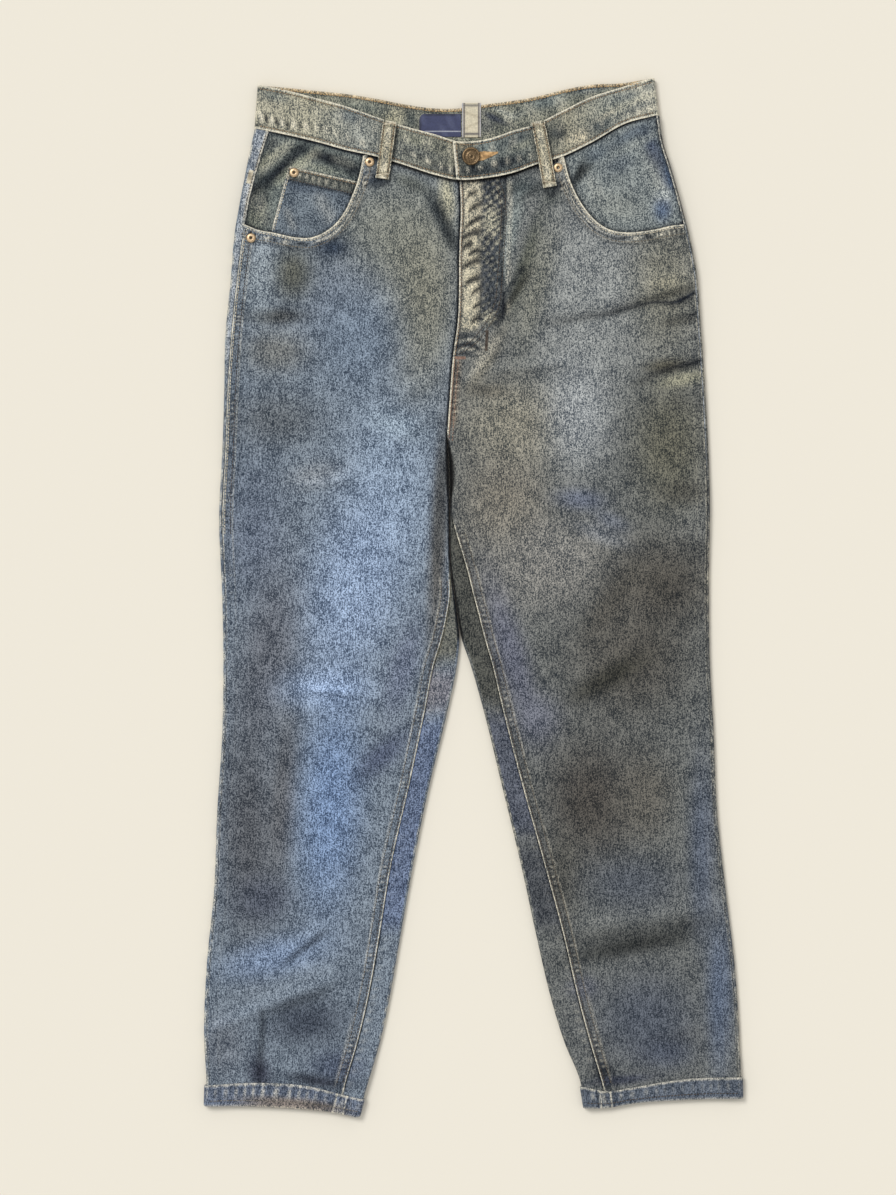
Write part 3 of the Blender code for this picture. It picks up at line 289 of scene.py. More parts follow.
def folds(x, y, table):
    """Sum of soft ridges. Each is a bell across its line, faded to nothing at both ends."""
    total = np.zeros(np.broadcast(x, y).shape)
    for x1, y1, x2, y2, height, width in table:
        dx, dy = x2 - x1, y2 - y1
        length = math.hypot(dx, dy)
        along = ((x - x1) * dx + (y - y1) * dy) / length**2
        aside = ((x - x1) * dy - (y - y1) * dx) / length
        fade = smooth((along + 0.25) / 0.5) * smooth((1.25 - along) / 0.5)
        total = total + height * fade * np.exp(-((aside / width) ** 2))
    return total


def ripple(s, pitch, seed=0.0):
    """Uneven waves along a seam, from -1 to 1: a sine whose phase and size wander."""
    phase = 2 * np.pi * s / pitch
    phase = phase + 1.7 * np.sin(s / (pitch * 1.9) + seed) + 1.1 * np.sin(s / (pitch * 0.83) + 2 * seed)
    size = 0.65 + 0.35 * np.sin(s / (pitch * 2.7) + 3 * seed)
    return size * np.sin(phase + seed)


class Leg:
    """One side of the garment: where its edges and seams run, by height, and its two skins."""

    def __init__(self, name):
        """Reads the leg's rows of the tables. out is -1 or 1, from the middle towards the leg's edge."""
        self.name, self.out = name, -1.0 if name == "left" else 1.0
        self.edge, inset = through(SIDE[name], 1), through(SIDE[name], 2)
        self.outseam = lambda y: self.edge(y) - self.out * inset(y)
        self.inseam, self.inner = through(INNER[name], 1), through(INNER[name], 2)
        self.hem, self.cuff_top = through(TURN_UP[name], 1), through(TURN_UP[name], 2)
        self.mouth = np.array(MOUTH[name], float)
        self.pocket = POCKET[name]

    def inner_edge(self, y):
        """Inner edge of the leg. Above the crotch it stays where the crotch has it."""
        return self.inner(np.minimum(y, CROTCH_Y))

    def inner_radius(self, y):
        """Radius of the inner fold, smaller in the slit between the legs."""
        return FOLD_RADIUS - 1.6 * smooth((y + 20.0) / 50.0)

    def pocket_lift(self, x, y, margin, ramp):
        """1 over the back pocket grown by a margin, falling to 0 over a ramp."""
        px, top, width, _, point = self.pocket
        aside = np.abs(x - px) - width / 2 - margin
        along = np.abs(y - top + point / 2) - point / 2 - 42.0
        return np.clip(1 - aside / ramp, 0, 1) * np.clip(1 - along / ramp, 0, 1)

    def hem_lift(self, y):
        """How far the turn-up below the leg's end lifts both skins."""
        return (CUFF + SEAM_GAP) * smooth(1 - (y + 456.0) / 22.0)

    def floor(self, x, y):
        """Underside: flat, raised over the back pocket, the turn-up and the ends of the loops."""
        waist = np.interp(back_seam(x) - y, *np.array(LOOP_LIFT).T)
        return self.hem_lift(y) + 1.5 * self.pocket_lift(x, y, 2.0, 8.0) + waist

    def top(self, x, y):
        """Top skin: a drape by distance from the waist, plus sprung edges, felled seams and creases."""
        above, low = np.maximum(y - CROTCH_Y, 0), np.minimum(y, CROTCH_Y)
        z = np.interp(front_seam(x) - y, *np.array(DRAPE, float).T)
        z = z + 1.5 * smooth(self.pocket_lift(x, y, 30.0, 40.0)) + self.hem_lift(y)
        z = z + 1.9 * np.exp(-(((self.edge(y) - x) / 16.0) ** 2))
        z = z + 1.9 * np.exp(-(((x - self.inner(low)) / 16.0) ** 2) - (above / 14.0) ** 2)
        from_seam = x - np.where(y < CROTCH_Y, self.inseam(low), fly_edge(y))
        seam = np.exp(-((from_seam / 7.0) ** 2)) + np.exp(-(((x - self.outseam(y)) / 7.0) ** 2))
        z = z + 0.6 * seam * smooth((y + 465.0) / 25.0) + folds(x, y, CREASES)
        if self.name == "right":
            z = z + 1.7 * smooth(1 - (x - fly_edge(y)) / 44.0) * smooth((y - 211.0) / 40.0)
        return z


LEGS = {"left": Leg("left"), "right": Leg("right")}

# Patches of the wash over each side, some of them painted shade in creases and above the turn-ups: middle, half-sizes,
# turn in degrees, sRGB tone, strength
BASE_TONE = {"left": (112, 123, 136), "right": (100, 103, 103)}
TONES = {
    "left": (
        (-75, 345, 75, 75, 0, (123, 125, 117), 0.9), (-50, 270, 34, 80, -5, (125, 124, 111), 0.85),
        (-133, 290, 42, 45, 20, (111, 121, 135), 0.8), (-110, 245, 45, 50, 0, (107, 121, 139), 0.8),
        (-135, 335, 18, 11, 0, (36, 51, 72), 0.85), (-175, 310, 22, 28, 0, (83, 82, 67), 0.8),
        (-190, 269, 30, 9, 0, (56, 55, 50), 0.8), (-207, 312, 18, 42, 0, (144, 154, 162), 0.75),
        (-190, 235, 32, 22, 0, (112, 112, 107), 0.7), (-190, 170, 42, 28, 0, (93, 98, 103), 0.8),
        (-150, 117, 30, 13, 10, (122, 127, 133), 0.7), (-80, 110, 42, 80, 8, (132, 148, 168), 0.9),
        (-75, 165, 27, 13, -20, (147, 163, 178), 0.6), (-210, 60, 32, 70, 0, (100, 110, 127), 0.85),
        (-115, 10, 46, 95, -15, (140, 159, 188), 0.9), (-197, -60, 30, 95, -10, (97, 101, 110), 0.9),
        (-215, -230, 30, 110, 0, (85, 88, 94), 0.95), (-181, -190, 14, 85, -4, (88, 88, 90), 0.8),
        (-140, -88, 42, 20, 0, (149, 169, 200), 0.75), (-137, -200, 30, 100, -4, (114, 137, 173), 0.9),
        (-88, -152, 34, 13, 42, (73, 82, 106), 0.8), (-68, -70, 14, 45, -15, (107, 116, 138), 0.75),
        (-200, -290, 30, 22, 0, (74, 80, 95), 0.75), (-190, -345, 52, 18, 14, (123, 142, 172), 0.75),
        (-160, -408, 40, 24, 6, (64, 71, 84), 0.9), (-240, -430, 22, 30, 0, (103, 109, 119), 0.75),
        (-205, -456, 12, 18, 10, (44, 46, 63), 0.85), (-130, -450, 26, 16, 0, (70, 79, 102), 0.7),
        (-150, -464, 30, 6, -10, (18, 18, 33), 0.8), (-34, 50, 9, 110, -3, (84, 77, 65), 0.75),
        (-31, 92, 8, 72, -3, (68, 71, 74), 0.8),
        (-31, 362, 7, 36, 25, (66, 75, 82), 0.85),
        (-95, 401, 16, 9, 0, (31, 44, 63), 0.75), (-62, 397, 22, 8, -25, (81, 85, 80), 0.7),
        (-25, 385, 7, 22, 8, (183, 178, 149), 0.6),
    ),
    "right": (
        (110, 300, 60, 110, 0, (136, 140, 141), 0.9), (182, 300, 30, 60, 0, (125, 124, 113), 0.8),
        (49, 318, 8, 56, -17, (73, 77, 68), 0.8), (33, 345, 8, 55, -15, (127, 137, 137), 0.75),
        (12, 228, 8, 34, -29, (139, 136, 125), 0.75), (15, 197, 22, 8, -5, (55, 53, 51), 0.75),
        (40, 165, 50, 40, 0, (140, 137, 125), 0.85), (30, 90, 40, 48, 0, (124, 120, 111), 0.85),
        (100, 175, 30, 55, 0, (148, 153, 157), 0.9), (103, 93, 24, 11, -6, (92, 100, 118), 0.85),
        (132, 72, 18, 9, -25, (101, 109, 124), 0.75), (187, 145, 35, 65, 0, (95, 94, 82), 0.85),
        (183, 222, 20, 7, 8, (77, 75, 65), 0.8), (70, 30, 62, 42, 10, (130, 129, 126), 0.85),
        (180, 15, 55, 48, 0, (72, 70, 66), 0.95), (132, -5, 40, 14, 55, (83, 81, 76), 0.7),
        (150, -60, 62, 60, 0, (74, 71, 66), 0.8), (128, -78, 44, 12, 30, (51, 51, 46), 0.85),
        (36, -55, 16, 75, 16, (96, 100, 116), 0.85), (62, -117, 22, 24, 0, (104, 108, 122), 0.75),
        (112, -195, 46, 62, 0, (68, 64, 60), 0.85), (165, -190, 30, 45, 0, (87, 85, 80), 0.85),
        (85, -270, 20, 42, 0, (77, 76, 71), 0.75), (152, -275, 46, 28, 0, (78, 84, 94), 0.85),
        (152, -335, 64, 10, 11, (39, 41, 40), 0.85), (219, -240, 13, 90, 0, (84, 93, 109), 0.85),
        (236, -380, 13, 75, 0, (92, 105, 127), 0.85), (105, -375, 15, 12, 0, (97, 100, 113), 0.7),
        (165, -405, 50, 45, 0, (78, 85, 98), 0.85), (124, -452, 10, 15, 25, (31, 37, 46), 0.85),
        (185, -437, 26, 15, 0, (72, 80, 97), 0.65), (42, 391, 26, 8, 5, (55, 64, 67), 0.75),
        (75, 385, 10, 10, 0, (78, 84, 81), 0.7),
        (60, 300, 14, 60, -14, (122, 122, 110), 0.6), (140, -463, 34, 5, 6, (42, 49, 71), 0.7),
        (202, 100, 24, 13, 0, (66, 65, 60), 0.65), (122, 60, 26, 8, -22, (136, 141, 149), 0.5),
        (201, 209, 24, 7, 12, (146, 145, 126), 0.7), (186, 301, 16, 7, 10, (151, 147, 129), 0.5),
    ),
}


def linear(tone):
    """sRGB of 0 to 255 as linear light."""
    c = np.asarray(tone, float) / 255
    return np.where(c < 0.04045, c / 12.92, ((c + 0.055) / 1.055) ** 2.4)


def toned(wash, tone, share):
    """The wash moved towards a tone by a share between 0 and 1."""
    share = np.clip(share, 0, 1)[..., None]
    return wash * (1 - share) + linear(tone) * share


def patched(wash, zones, x, y):
    """A wash with soft-edged elliptical patches laid over it in turn."""
    for px, py, wide, tall, turn, tone, strength in zones:
        c, s = math.cos(math.radians(turn)), math.sin(math.radians(turn))
        u, v = ((x - px) * c + (y - py) * s) / wide, ((y - py) * c - (x - px) * s) / tall
        wash = toned(wash, tone, strength * np.exp(-((u**2 + v**2) ** 1.3)))
    return wash


def wash_of(leg, x, y):
    """Colour of the cloth at each place: the side's tone with its patches laid over it."""
    base = np.broadcast_to(linear(BASE_TONE[leg.name]), (*np.broadcast(x, y).shape, 3))
    return patched(base, TONES[leg.name], x, y)


PALE, DEEP = (218, 212, 194), (27, 32, 40)  # worn high places, and unworn hollows and painted shade


def worn_and_shaded(wash, amount):
    """Lighter where amount is above 0 for wear, deeper below it for unworn dye and painted shade."""
    wash = toned(wash, PALE, np.maximum(amount, 0))
    return toned(wash, DEEP, np.maximum(-amount, 0))


def bell(value, width):
    """1 at 0, falling away smoothly on both sides."""
    return np.exp(-((value / width) ** 2))


def lit(wash, amount):
    """The same hue, lighter where amount is above 0 and darker below it."""
    return wash * np.exp(amount)[..., None]


def beside_seam(d, s, seed):
    """Height and wear of a felled seam's near side, by distance d from its line and s along it.
    A rolled edge, then a band of doubled cloth that puckers in beads, then its far stitched edge."""
    band = smooth(d / 1.2) * smooth((10.0 - d) / 2.0)
    pucker = ripple(s, 4.9, seed) * bell(d - 5.4, 2.4)
    height = 0.55 * bell(d - 0.7, 0.8) + 0.35 * band + 0.35 * pucker
    wear_and_shade = 0.8 * bell(d - 0.6, 0.7) - 0.3 * bell(d - 2.6, 1.2) + 0.55 * pucker - 0.22 * bell(d - 5.4, 3.0)
    return height, wear_and_shade + 0.3 * bell(d - 9.6, 1.0) - 0.2 * bell(d - 12.0, 2.0)


def run_length(line):
    """How far along a line of points each of them lies."""
    return np.concatenate([[0], np.cumsum(np.linalg.norm(np.diff(line, axis=0), axis=1))])


def placed(line, at):
    """Points at the given distances along a line."""
    length = run_length(line)
    return np.stack([np.interp(at, length, line[:, k]) for k in (0, 1)], 1)


def along_line(x, y, line):
    """Distance of each place from a line of points, and how far along the line it is nearest."""
    line = np.asarray(line, float)
    start, step = line[:-1], np.diff(line, axis=0)
    length = np.linalg.norm(step, axis=1)
    before = np.concatenate([[0], np.cumsum(length)[:-1]])
    best, place = np.full(np.shape(x), 1e9), np.zeros(np.shape(x))
    for (px, py), (dx, dy), whole, offset in zip(start, step, length, before):
        t = np.clip(((x - px) * dx + (y - py) * dy) / whole**2, 0, 1)
        gap = np.hypot(x - px - t * dx, y - py - t * dy)
        place = np.where(gap < best, offset + t * whole, place)
        best = np.minimum(best, gap)
    return best, place


def resampled(line, count):
    """A smooth line through the given points with count points, evenly spaced along it."""
    line = np.asarray(line, float)
    step = run_length(line)
    fine = np.linspace(0, step[-1], max(count * 4, 400))
    smooth_line = np.stack([through(np.column_stack([step, line[:, k]]), 1)(fine) for k in (0, 1)], 1)
    return placed(smooth_line, np.linspace(0, run_length(smooth_line)[-1], count))


DENIM = {}


def denim(slot, tone=None):
    """Washed denim. The attribute 'wash' is its broad colour, or tone where the cloth has one colour.
    Twill lines, slubby warp threads, streaks and white flecks of weft are mixed over it from noise in
    object coordinates, and lift the surface. Where the dye is rubbed away the grain fades with it."""
    name = slot if tone is None else slot + "_plain"
    if name in DENIM:
        return DENIM[name]
    made = Finish(name)
    DENIM[name] = made.material
    place = made.node("ShaderNodeTexCoord", "Object")
    threads = made.node("ShaderNodeMapping", "Vector", Vector=place, Scale=(1.0, 0.42, 1.0))
    long = made.node("ShaderNodeMapping", "Vector", Vector=place, Scale=(1.0, 0.13, 1.0))
    weft = made.node("ShaderNodeMapping", "Vector", Vector=place, Scale=(0.85, 1.0, 1.0))
    turned = made.node("ShaderNodeMapping", "Vector", Vector=place, Rotation=(0, 0, math.radians(28)))
    cloud = made.node("ShaderNodeTexNoise", "Fac", Vector=place, Scale=55.0, Detail=5.0, Roughness=0.65)
    speck = made.math("MULTIPLY", cloud, 0.8)
    for pattern, share in (
        (made.node("ShaderNodeTexNoise", "Fac", Vector=threads, Scale=1150.0, Detail=1.0, Roughness=0.6), 1.6),
        (made.node("ShaderNodeTexNoise", "Fac", Vector=weft, Scale=1000.0, Detail=1.5, Roughness=0.6), 1.6),
        (made.node("ShaderNodeTexNoise", "Fac", Vector=long, Scale=800.0, Detail=1.0, Roughness=0.5), 0.7),
        (made.node("ShaderNodeTexWave", "Fac", Vector=turned, Scale=300.0, Distortion=1.5, Detail=1.0), 0.25),
    ):
        speck = made.math("ADD", speck, made.math("MULTIPLY", pattern, share))
    centred = made.math("SUBTRACT", speck, 2.48)
    height = made.node("ShaderNodeSeparateXYZ", "Y", Vector=place)
    down = {"From Min": -0.4, "From Max": -0.25, "To Min": 1.5, "To Max": 1.85}
    strength = made.node("ShaderNodeMapRange", "Result", Value=height, **down)
    wash = (*linear(tone), 1) if tone else made.node("ShaderNodeAttribute", "Color", attribute_name="wash")
    if tone is None:
        bright = made.node("ShaderNodeRGBToBW", 0, Color=wash)
        left_of_dye = {"From Min": 0.34, "From Max": 0.6, "To Min": 1.0, "To Max": 0.3}
        fade = made.node("ShaderNodeMapRange", "Result", Value=bright, **left_of_dye)
        strength = made.math("MULTIPLY", strength, fade)
    factor = made.math("ADD", made.math("MULTIPLY", centred, strength), 0.43)
    clamp = made.node("ShaderNodeClamp", 0, Value=factor)
    dark = made.mix("MULTIPLY", 1.0, wash, (0.25, 0.29, 0.34, 1))
    light = made.mix("MULTIPLY", 1.0, wash, (2.05, 1.98, 1.86, 1))
    made.bump(factor, 0.35, 0.0004)
    made.shade({
        "Base Color": made.mix("MIX", clamp, dark, light),
        "Roughness": made.math("ADD", made.math("MULTIPLY", cloud, 0.16), 0.8),
        "Sheen Weight": 0.03, "Sheen Roughness": 0.6, "Specular IOR Level": 0.1,
    })
    return made.material


def piece(name, points, faces, wash, finish, node=None, thickness=0.0):
    """A smooth surface of points in millimetres with the attribute 'wash'. It rides with the garment, and
    Solidify gives it a thickness where it has one."""
    mesh = bpy.data.meshes.new(name)
    mesh.from_pydata(points * MM, [], faces)
    mesh.shade_smooth()
    rgba = np.ones((len(points), 4), np.float32)
    rgba[:, :3] = wash
    mesh.attributes.new("wash", "FLOAT_COLOR", "POINT").data.foreach_set("color", rgba.ravel())
    mesh.materials.append(finish)
    thing = bpy.data.objects.new(name, mesh)
    bpy.context.collection.objects.link(thing)
    if thickness:
        solid = thing.modifiers.new("thickness", "SOLIDIFY")
        solid.thickness, solid.offset = thickness * MM, -1
    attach(thing, "root")
    if node:
        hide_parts(node)
    return thing


def net(index, points, up):
    """Faces between neighbouring places of a grid, turned so that the one named by up looks upwards."""
    quads = np.stack([index[:-1, :-1], index[:-1, 1:], index[1:, 1:], index[1:, :-1]], -1)
    a, b, c = (points[quads[up[0], up[1], k]] for k in (0, 1, 3))
    return quads[..., ::-1] if np.cross(b - a, c - a)[2] < 0 else quads


def cloth(name, grid, wash, thickness, slot, node, keep=None, up=(0, 0)):
    """A sheet of cloth from a grid of points, with its wash at each point. The grid is its skin, its
    thickness lies below, and keep says which faces it has."""
    rows, columns = grid.shape[:2]
    points = grid.reshape(-1, 3)
    quads = net(np.arange(rows * columns).reshape(rows, columns), points, up)
    quads = quads.reshape(-1, 4) if keep is None else quads[keep]
    used = np.unique(quads)
    order = np.zeros(rows * columns, int)
    order[used] = np.arange(len(used))
    faces, wash = order[quads].tolist(), wash.reshape(-1, 3)[used]
    return piece(name, points[used], faces, wash, denim(slot), node, thickness)


NEAR_SEAM = np.array([0, 0.5, 1.0, 1.6, 2.4, 3.4, 4.6, 5.8, 7.0, 8.2, 9.2, 10.0, 11.0, 12.5, 14.5, 17.0])
WAVES = (  # soft unevenness of cloth that has been worn: waves along x, along y, height, phase
    (61, 83, 0.35, 0.4), (37, 52, 0.22, 1.9), (23, -34, 0.16, 3.1), (-17, 27, 0.10, 0.9),
)


def worn_form(x, y):
    """Finer relief of the top layer: the wrinkles and a sum of slow waves."""
    z = folds(x, y, WRINKLES)
    for wide, tall, height, phase in WAVES:
        z = z + height * np.sin(2 * np.pi * (x / wide + y / tall) + phase + np.sin(y / 40 + x / 90))
    return z


def crease_light_and_shade(x, y):
    """Painted light and shade of the creases: painted shade in their troughs, a painted highlight on the ridges' side
    towards the light and painted shade on the other side. The large creases add a little painted light on their ridges
    and shade in their troughs."""
    beyond = np.maximum(folds(x - 3.5, y + 3.5, WRINKLES), 0)
    fine = 0.13 * folds(x + 1, y - 1, WRINKLES) + 0.26 * np.minimum(folds(x, y, WRINKLES), 0) - 0.17 * beyond
    return fine + 0.06 * folds(x, y, CREASES)


def front_grid(leg):
    """Places of the front panel, evenly spaced down the leg, close together beside both seams. Below
    the crotch the rows are level, above it they take on the line of the mouth and the waist."""
    half = SEAM_GAP / 2
    inner = np.concatenate([NEAR_SEAM / 250, 1 - NEAR_SEAM[::-1] / 250])
    share = np.concatenate([inner, np.linspace(0.09, 0.91, 36)])
    if leg.name == "right":
        share = np.concatenate([share, 1 - np.arange(19.0, 53.0, 2.1) / 225])
    share = np.sort(share)
    waist_x = np.linspace(leg.mouth[-1, 0] - leg.out * 1.5, fly_edge(399.0) + leg.out * half, 40)
    waist = np.stack([waist_x, front_seam(waist_x) - half], 1)
    mouth = resampled(leg.mouth, 60)
    mouth[-1, 1] -= half
    upper = np.concatenate([mouth, waist])
    upper = placed(upper, share * run_length(upper)[-1])
    across = (upper[:, 0] - upper[0, 0]) / (upper[-1, 0] - upper[0, 0])
    near_mouth = MOUTH_Y - np.array([4, 3.2, 2.5, 1.8, 1.2, 0.6, 0])
    row = np.concatenate([np.linspace(HEM_Y + 4, MOUTH_Y - 5, 455), near_mouth])[:, None]
    up = np.clip((row - CROTCH_Y) / (MOUTH_Y - CROTCH_Y), 0, 1)
    y_in = np.where(row > CROTCH_Y, CROTCH_Y + up * (upper[-1, 1] - CROTCH_Y), row)
    y = row + (y_in - row) * (share + (across - share) * up)
    y = y + up**2 * (upper[:, 1] - upper[0, 1] - (upper[-1, 1] - upper[0, 1]) * across)
    seam = np.where(row > CROTCH_Y, fly_edge(y_in), leg.inseam(np.minimum(row, CROTCH_Y))) + leg.out * half
    outer = leg.outseam(row) - leg.out * half
    x = outer + (seam - outer) * (share + (across - share) * up)
    x[-1], y[-1] = upper.T
    for _ in range(3):
        low = leg.hem(x[0]) + 1.0
        ends = leg.outseam(low) - leg.out * half, leg.inseam(low) + leg.out * half
        x[0] = ends[0] + (ends[1] - ends[0]) * share
    fade = smooth((row[:12] - row[0]) / (row[11] - row[0]))
    y[:12] = y[:12] * fade + (low + (row[:12] - row[0])) * (1 - fade)
    return x, y


SLIT = (  # y, middle and half-width of the hollow between the legs, painted black as its shadow
    (-44, -11.4, 0.4), (-36, -11.9, 0.5), (0, -18.0, 0.7), (32, -22.0, 0.8), (80, -22.9, 0.9), (95, -22.6, 2.0),
    (108, -22.2, 4.0), (122, -22.3, 4.7), (134, -23.2, 3.8), (144, -24.6, 2.0), (152, -25.6, 1.0), (162, -26.2, 0.4),
)
slit_middle, slit_half = through(SLIT, 1), through(SLIT, 2)


def shadowed_hollow(x, y):
    """1 in the hollow between the legs, where the front panels dip and which is painted black as its shadow. It opens
    below the crotch and closes to a line.
    """
    ends = smooth((y + 46) / 8) * smooth((162 - y) / 8)
    return ends * np.exp(-(((x - slit_middle(y)) / slit_half(y)) ** 4))


FLY_SLITS = (  # y at the edge of the fly and farther in, from and to which distance beside it, width
    (382, 387, 6, 16, 1.6), (369, 376, 8, 21, 2.0), (352, 363, 4, 20, 2.0), (343, 350, 3, 19, 2.2),
    (333, 338, 3, 13, 2.2), (327, 332, 9, 21, 1.8), (315, 323, 4, 21, 2.4), (299, 306, 6, 21, 2.2),
    (289, 296, 12, 22, 1.8), (276, 281, 14, 22, 1.6), (262, 268, 13, 22, 1.8),
)
SHARP = {  # the sharpest creases, painted as dark lines of shade: how deep the painted shade is, half-width and points, fading towards the last one
    "left": (),
    "right": (
        (1.0, 1.9, ((220, 297), (205, 288), (193, 282), (174, 283), (155, 279), (133, 272), (107, 268), (88, 264))),
        (0.55, 4.5, ((206, 285), (190, 278), (172, 279))),
        (0.7, 2.6, ((220, 272), (206, 270), (196, 271), (184, 263))),
        (0.8, 2.0, ((224, 227), (203, 223), (179, 217), (165, 207))),
        (0.35, 6.0, ((222, 186), (205, 190), (190, 184))),
        (0.75, 2.6, ((47, 315), (34, 295), (23, 261))), (0.3, 2.4, ((215, 250), (190, 241), (160, 236))),
    ),
}
MOUTH_LINE = {name: resampled(leg.mouth, 60) for name, leg in LEGS.items()}
# Lines of the front belt loops, beside which the panels and the band get painted shadow.
LOOP_SHADE = {"left": ((-79, 452), (-88, 399)), "right": ((62, 452), (75, 390))}


def beside_fly(x, y, z, wash, wear_and_shade):
    """Relief, wash and wear of the right front's fly. A pale strip beside the edge is cut by dark
    slits. Farther in is the dark beaded panel up to the curved seam, and at the foot are three curls
    and the brown band that is sewn twice."""
    beside = x - fly_edge(y)
    slits = np.zeros(x.shape)
    for edge_y, inner_y, start, end, wide in FLY_SLITS:
        t = (beside - start) / (end - start)
        line = edge_y + (inner_y - edge_y) * t + 1.5 * np.sin(np.pi * np.clip(t, 0, 1))
        reach = smooth(t / 0.3 + 0.5) * smooth((1.15 - t) / 0.3)
        slits = np.maximum(slits, bell(y - line, wide * (1.3 + 0.9 * np.clip(t, 0, 1))) * reach)
    strip = np.exp(-(((beside - 11.5) / 9.0) ** 6)) * smooth((y - 252) / 8)
    panel = np.exp(-(((beside - 31) / 11.0) ** 6)) * smooth((y - 256) / 12)
    z = z + (0.8 - 1.3 * slits) * strip + 0.6 * smooth((41 - beside) / 4) * smooth((y - 236) / 14)
    wash = toned(wash, (208, 200, 176), 0.97 * strip * (0.82 + 0.18 * ripple(y, 17.0, 2.0)))
    wash = toned(wash, (44, 50, 60), 0.85 * panel)
    beads = ripple(y, 8.0, 1.2) * np.cos(2 * np.pi * (beside - 25.0) / 9.0 + 1.9 * np.sin(y / 11))
    beads = beads * (0.55 + 0.45 * ripple(beside + 0.4 * y, 21.0, 1.0))
    blots = bell(y - 360, 13.0) * bell(beside - 29, 7.0) + 0.8 * bell(y - 266, 7.0) * bell(beside - 29, 6.0)
    wash = toned(wash, (186, 182, 162), 0.95 * np.clip(1.5 * beads + 0.9 * blots, 0, 1) * panel)
    wash = toned(wash, (30, 34, 40), 0.95 * slits * smooth((y - 252) / 8))
    hem = bell(beside - 42.5 - 2 * np.sin(y / 30), 1.6) * smooth((y - 258) / 12)
    wear_and_shade = wear_and_shade - 0.85 * hem + 0.28 * bell(beside - 47, 2.5) * smooth((y - 262) / 20)
    wear_and_shade = wear_and_shade + 0.9 * bell(beside - 0.8, 1.0) * smooth((y - CROTCH_Y) / 10)
    wear_and_shade = wear_and_shade - 0.75 * bell(beside - 2.8, 1.0) * smooth((y - CROTCH_Y) / 10)
    curl = np.sin(2 * np.pi * (y + 0.03 * (beside - 12) ** 2) / 9.0 - 0.9)
    low_end = bell(y - 242 + 0.1 * beside, 10.0) * np.exp(-(((beside - 14) / 15) ** 4))
    wear_and_shade = wear_and_shade + (0.75 * curl - 0.25) * low_end
    twice = bell(beside - 5.5, 3.2) * smooth((229 - y) / 5) * smooth((y - 158) / 12)
    wash = toned(wash, (100, 88, 76), 0.7 * twice)
    return z, wash, wear_and_shade + 0.45 * ripple(y, 5.5, 0.4) * twice


def front_panel(leg):
    """The leg's top skin with its creases and their painted light and shade, a felled seam along each side, the
    puckered band round the pocket mouth, and painted shadow under the waistband, beside the belt loop and in the slit
    between the legs."""
    x, y = front_grid(leg)
    low, left = np.minimum(y, CROTCH_Y), leg.name == "left"
    # The wash gets the creases' painted light and shade.
    wash, wear_and_shade = lit(wash_of(leg, x, y), crease_light_and_shade(x, y)), np.zeros(x.shape)
    z = leg.top(x, y) + worn_form(x, y)
    # Painted shade along the sharpest creases.
    for depth, wide, line in SHARP[leg.name]:
        from_line, along = along_line(x, y, line)
        wear_and_shade = wear_and_shade - depth * bell(from_line, wide) * (1 - 0.7 * along / along.max())
    into = np.where(y < CROTCH_Y, (x - leg.inseam(low)) * leg.out, 99.0)
    height, rubbed = beside_seam(np.maximum(into, 0), y, 1.0)
    shown = smooth(((26 if left else 78) - y) / 14)
    z, wear_and_shade = z + height * shown - 2.0 * shadowed_hollow(x, y), wear_and_shade + rubbed * shown
    height, rubbed = beside_seam(np.maximum((leg.outseam(y) - x) * leg.out, 0), y, 2.3)
    high = smooth((MOUTH_Y - 4 - y) / 8) * (0.12 + (0.88 if left else 0.2) * smooth((y + 60) / 200))
    z, wear_and_shade = z + height * high, wear_and_shade + rubbed * high
    gap, along = along_line(x, y, MOUTH_LINE[leg.name])
    pucker = np.sin(2 * np.pi * along / 4.6 + 0.8 * np.sin(along / 19)) * bell(gap - 6.0, 2.0)
    band = smooth((10.5 - gap) / 1.2)
    z = z + 0.55 * band + 0.3 * pucker + 0.3 * bell(gap - 0.8, 0.9)
    wear_and_shade = wear_and_shade + 1.0 * bell(gap - 0.7, 0.9) + 0.8 * pucker - 0.12 * band * smooth((gap - 1.5) / 1.5)
    wear_and_shade = wear_and_shade + 0.25 * bell(gap - 9.4, 0.8) - 0.5 * bell(gap - 11.6, 1.1)
    # Painted shadow under the waistband's lower edge: a black line and a broader darkening.
    band_shadow = bell(np.maximum(front_seam(x) - y - 1.4, 0), 1.4) * smooth((gap - 2) / 3)
    wear_and_shade = wear_and_shade - 0.5 * bell(front_seam(x) - y, 5.0) * smooth((gap - 2) / 3)
    # Painted shadow beside the front belt loop.
    from_loop, _ = along_line(x, y, LOOP_SHADE[leg.name])
    wear_and_shade = wear_and_shade - 0.6 * bell(np.maximum(from_loop - 6, 0), 2.2)
    if left:
        # Painted shade beside the raised edge of the fly.
        to_edge = fly_edge(y) - x
        wear_and_shade = wear_and_shade - (0.45 * bell(to_edge, 2.4) + 0.8 * bell(to_edge - 0.6, 1.4)) * smooth((y - CROTCH_Y) / 20)
    else:
        z, wash, wear_and_shade = beside_fly(x, y, z, wash, wear_and_shade)
    # Painted black shadow under the waistband's edge and in the slit between the legs.
    wash = toned(worn_and_shaded(wash, wear_and_shade), (12, 12, 14), np.maximum(0.92 * band_shadow, 0.97 * shadowed_hollow(x, y)))
    grid = np.dstack([x, y, z])
    thing = cloth(f"denim_front_{leg.name}", grid, wash, CLOTH, "denim", f"front_{leg.name}", up=(150, 30))


for leg in LEGS.values():
    front_panel(leg)

# Back panels.
# The same denim, cut wider than the fronts, so it wraps round both edges of the pressed leg and shows
# beside the inseam. It lies flat on the table between the folds.
FINE_ANGLES = np.array([72.0, 48.0, 24.0, 0.0, -24.0, -48.0, -72.0])


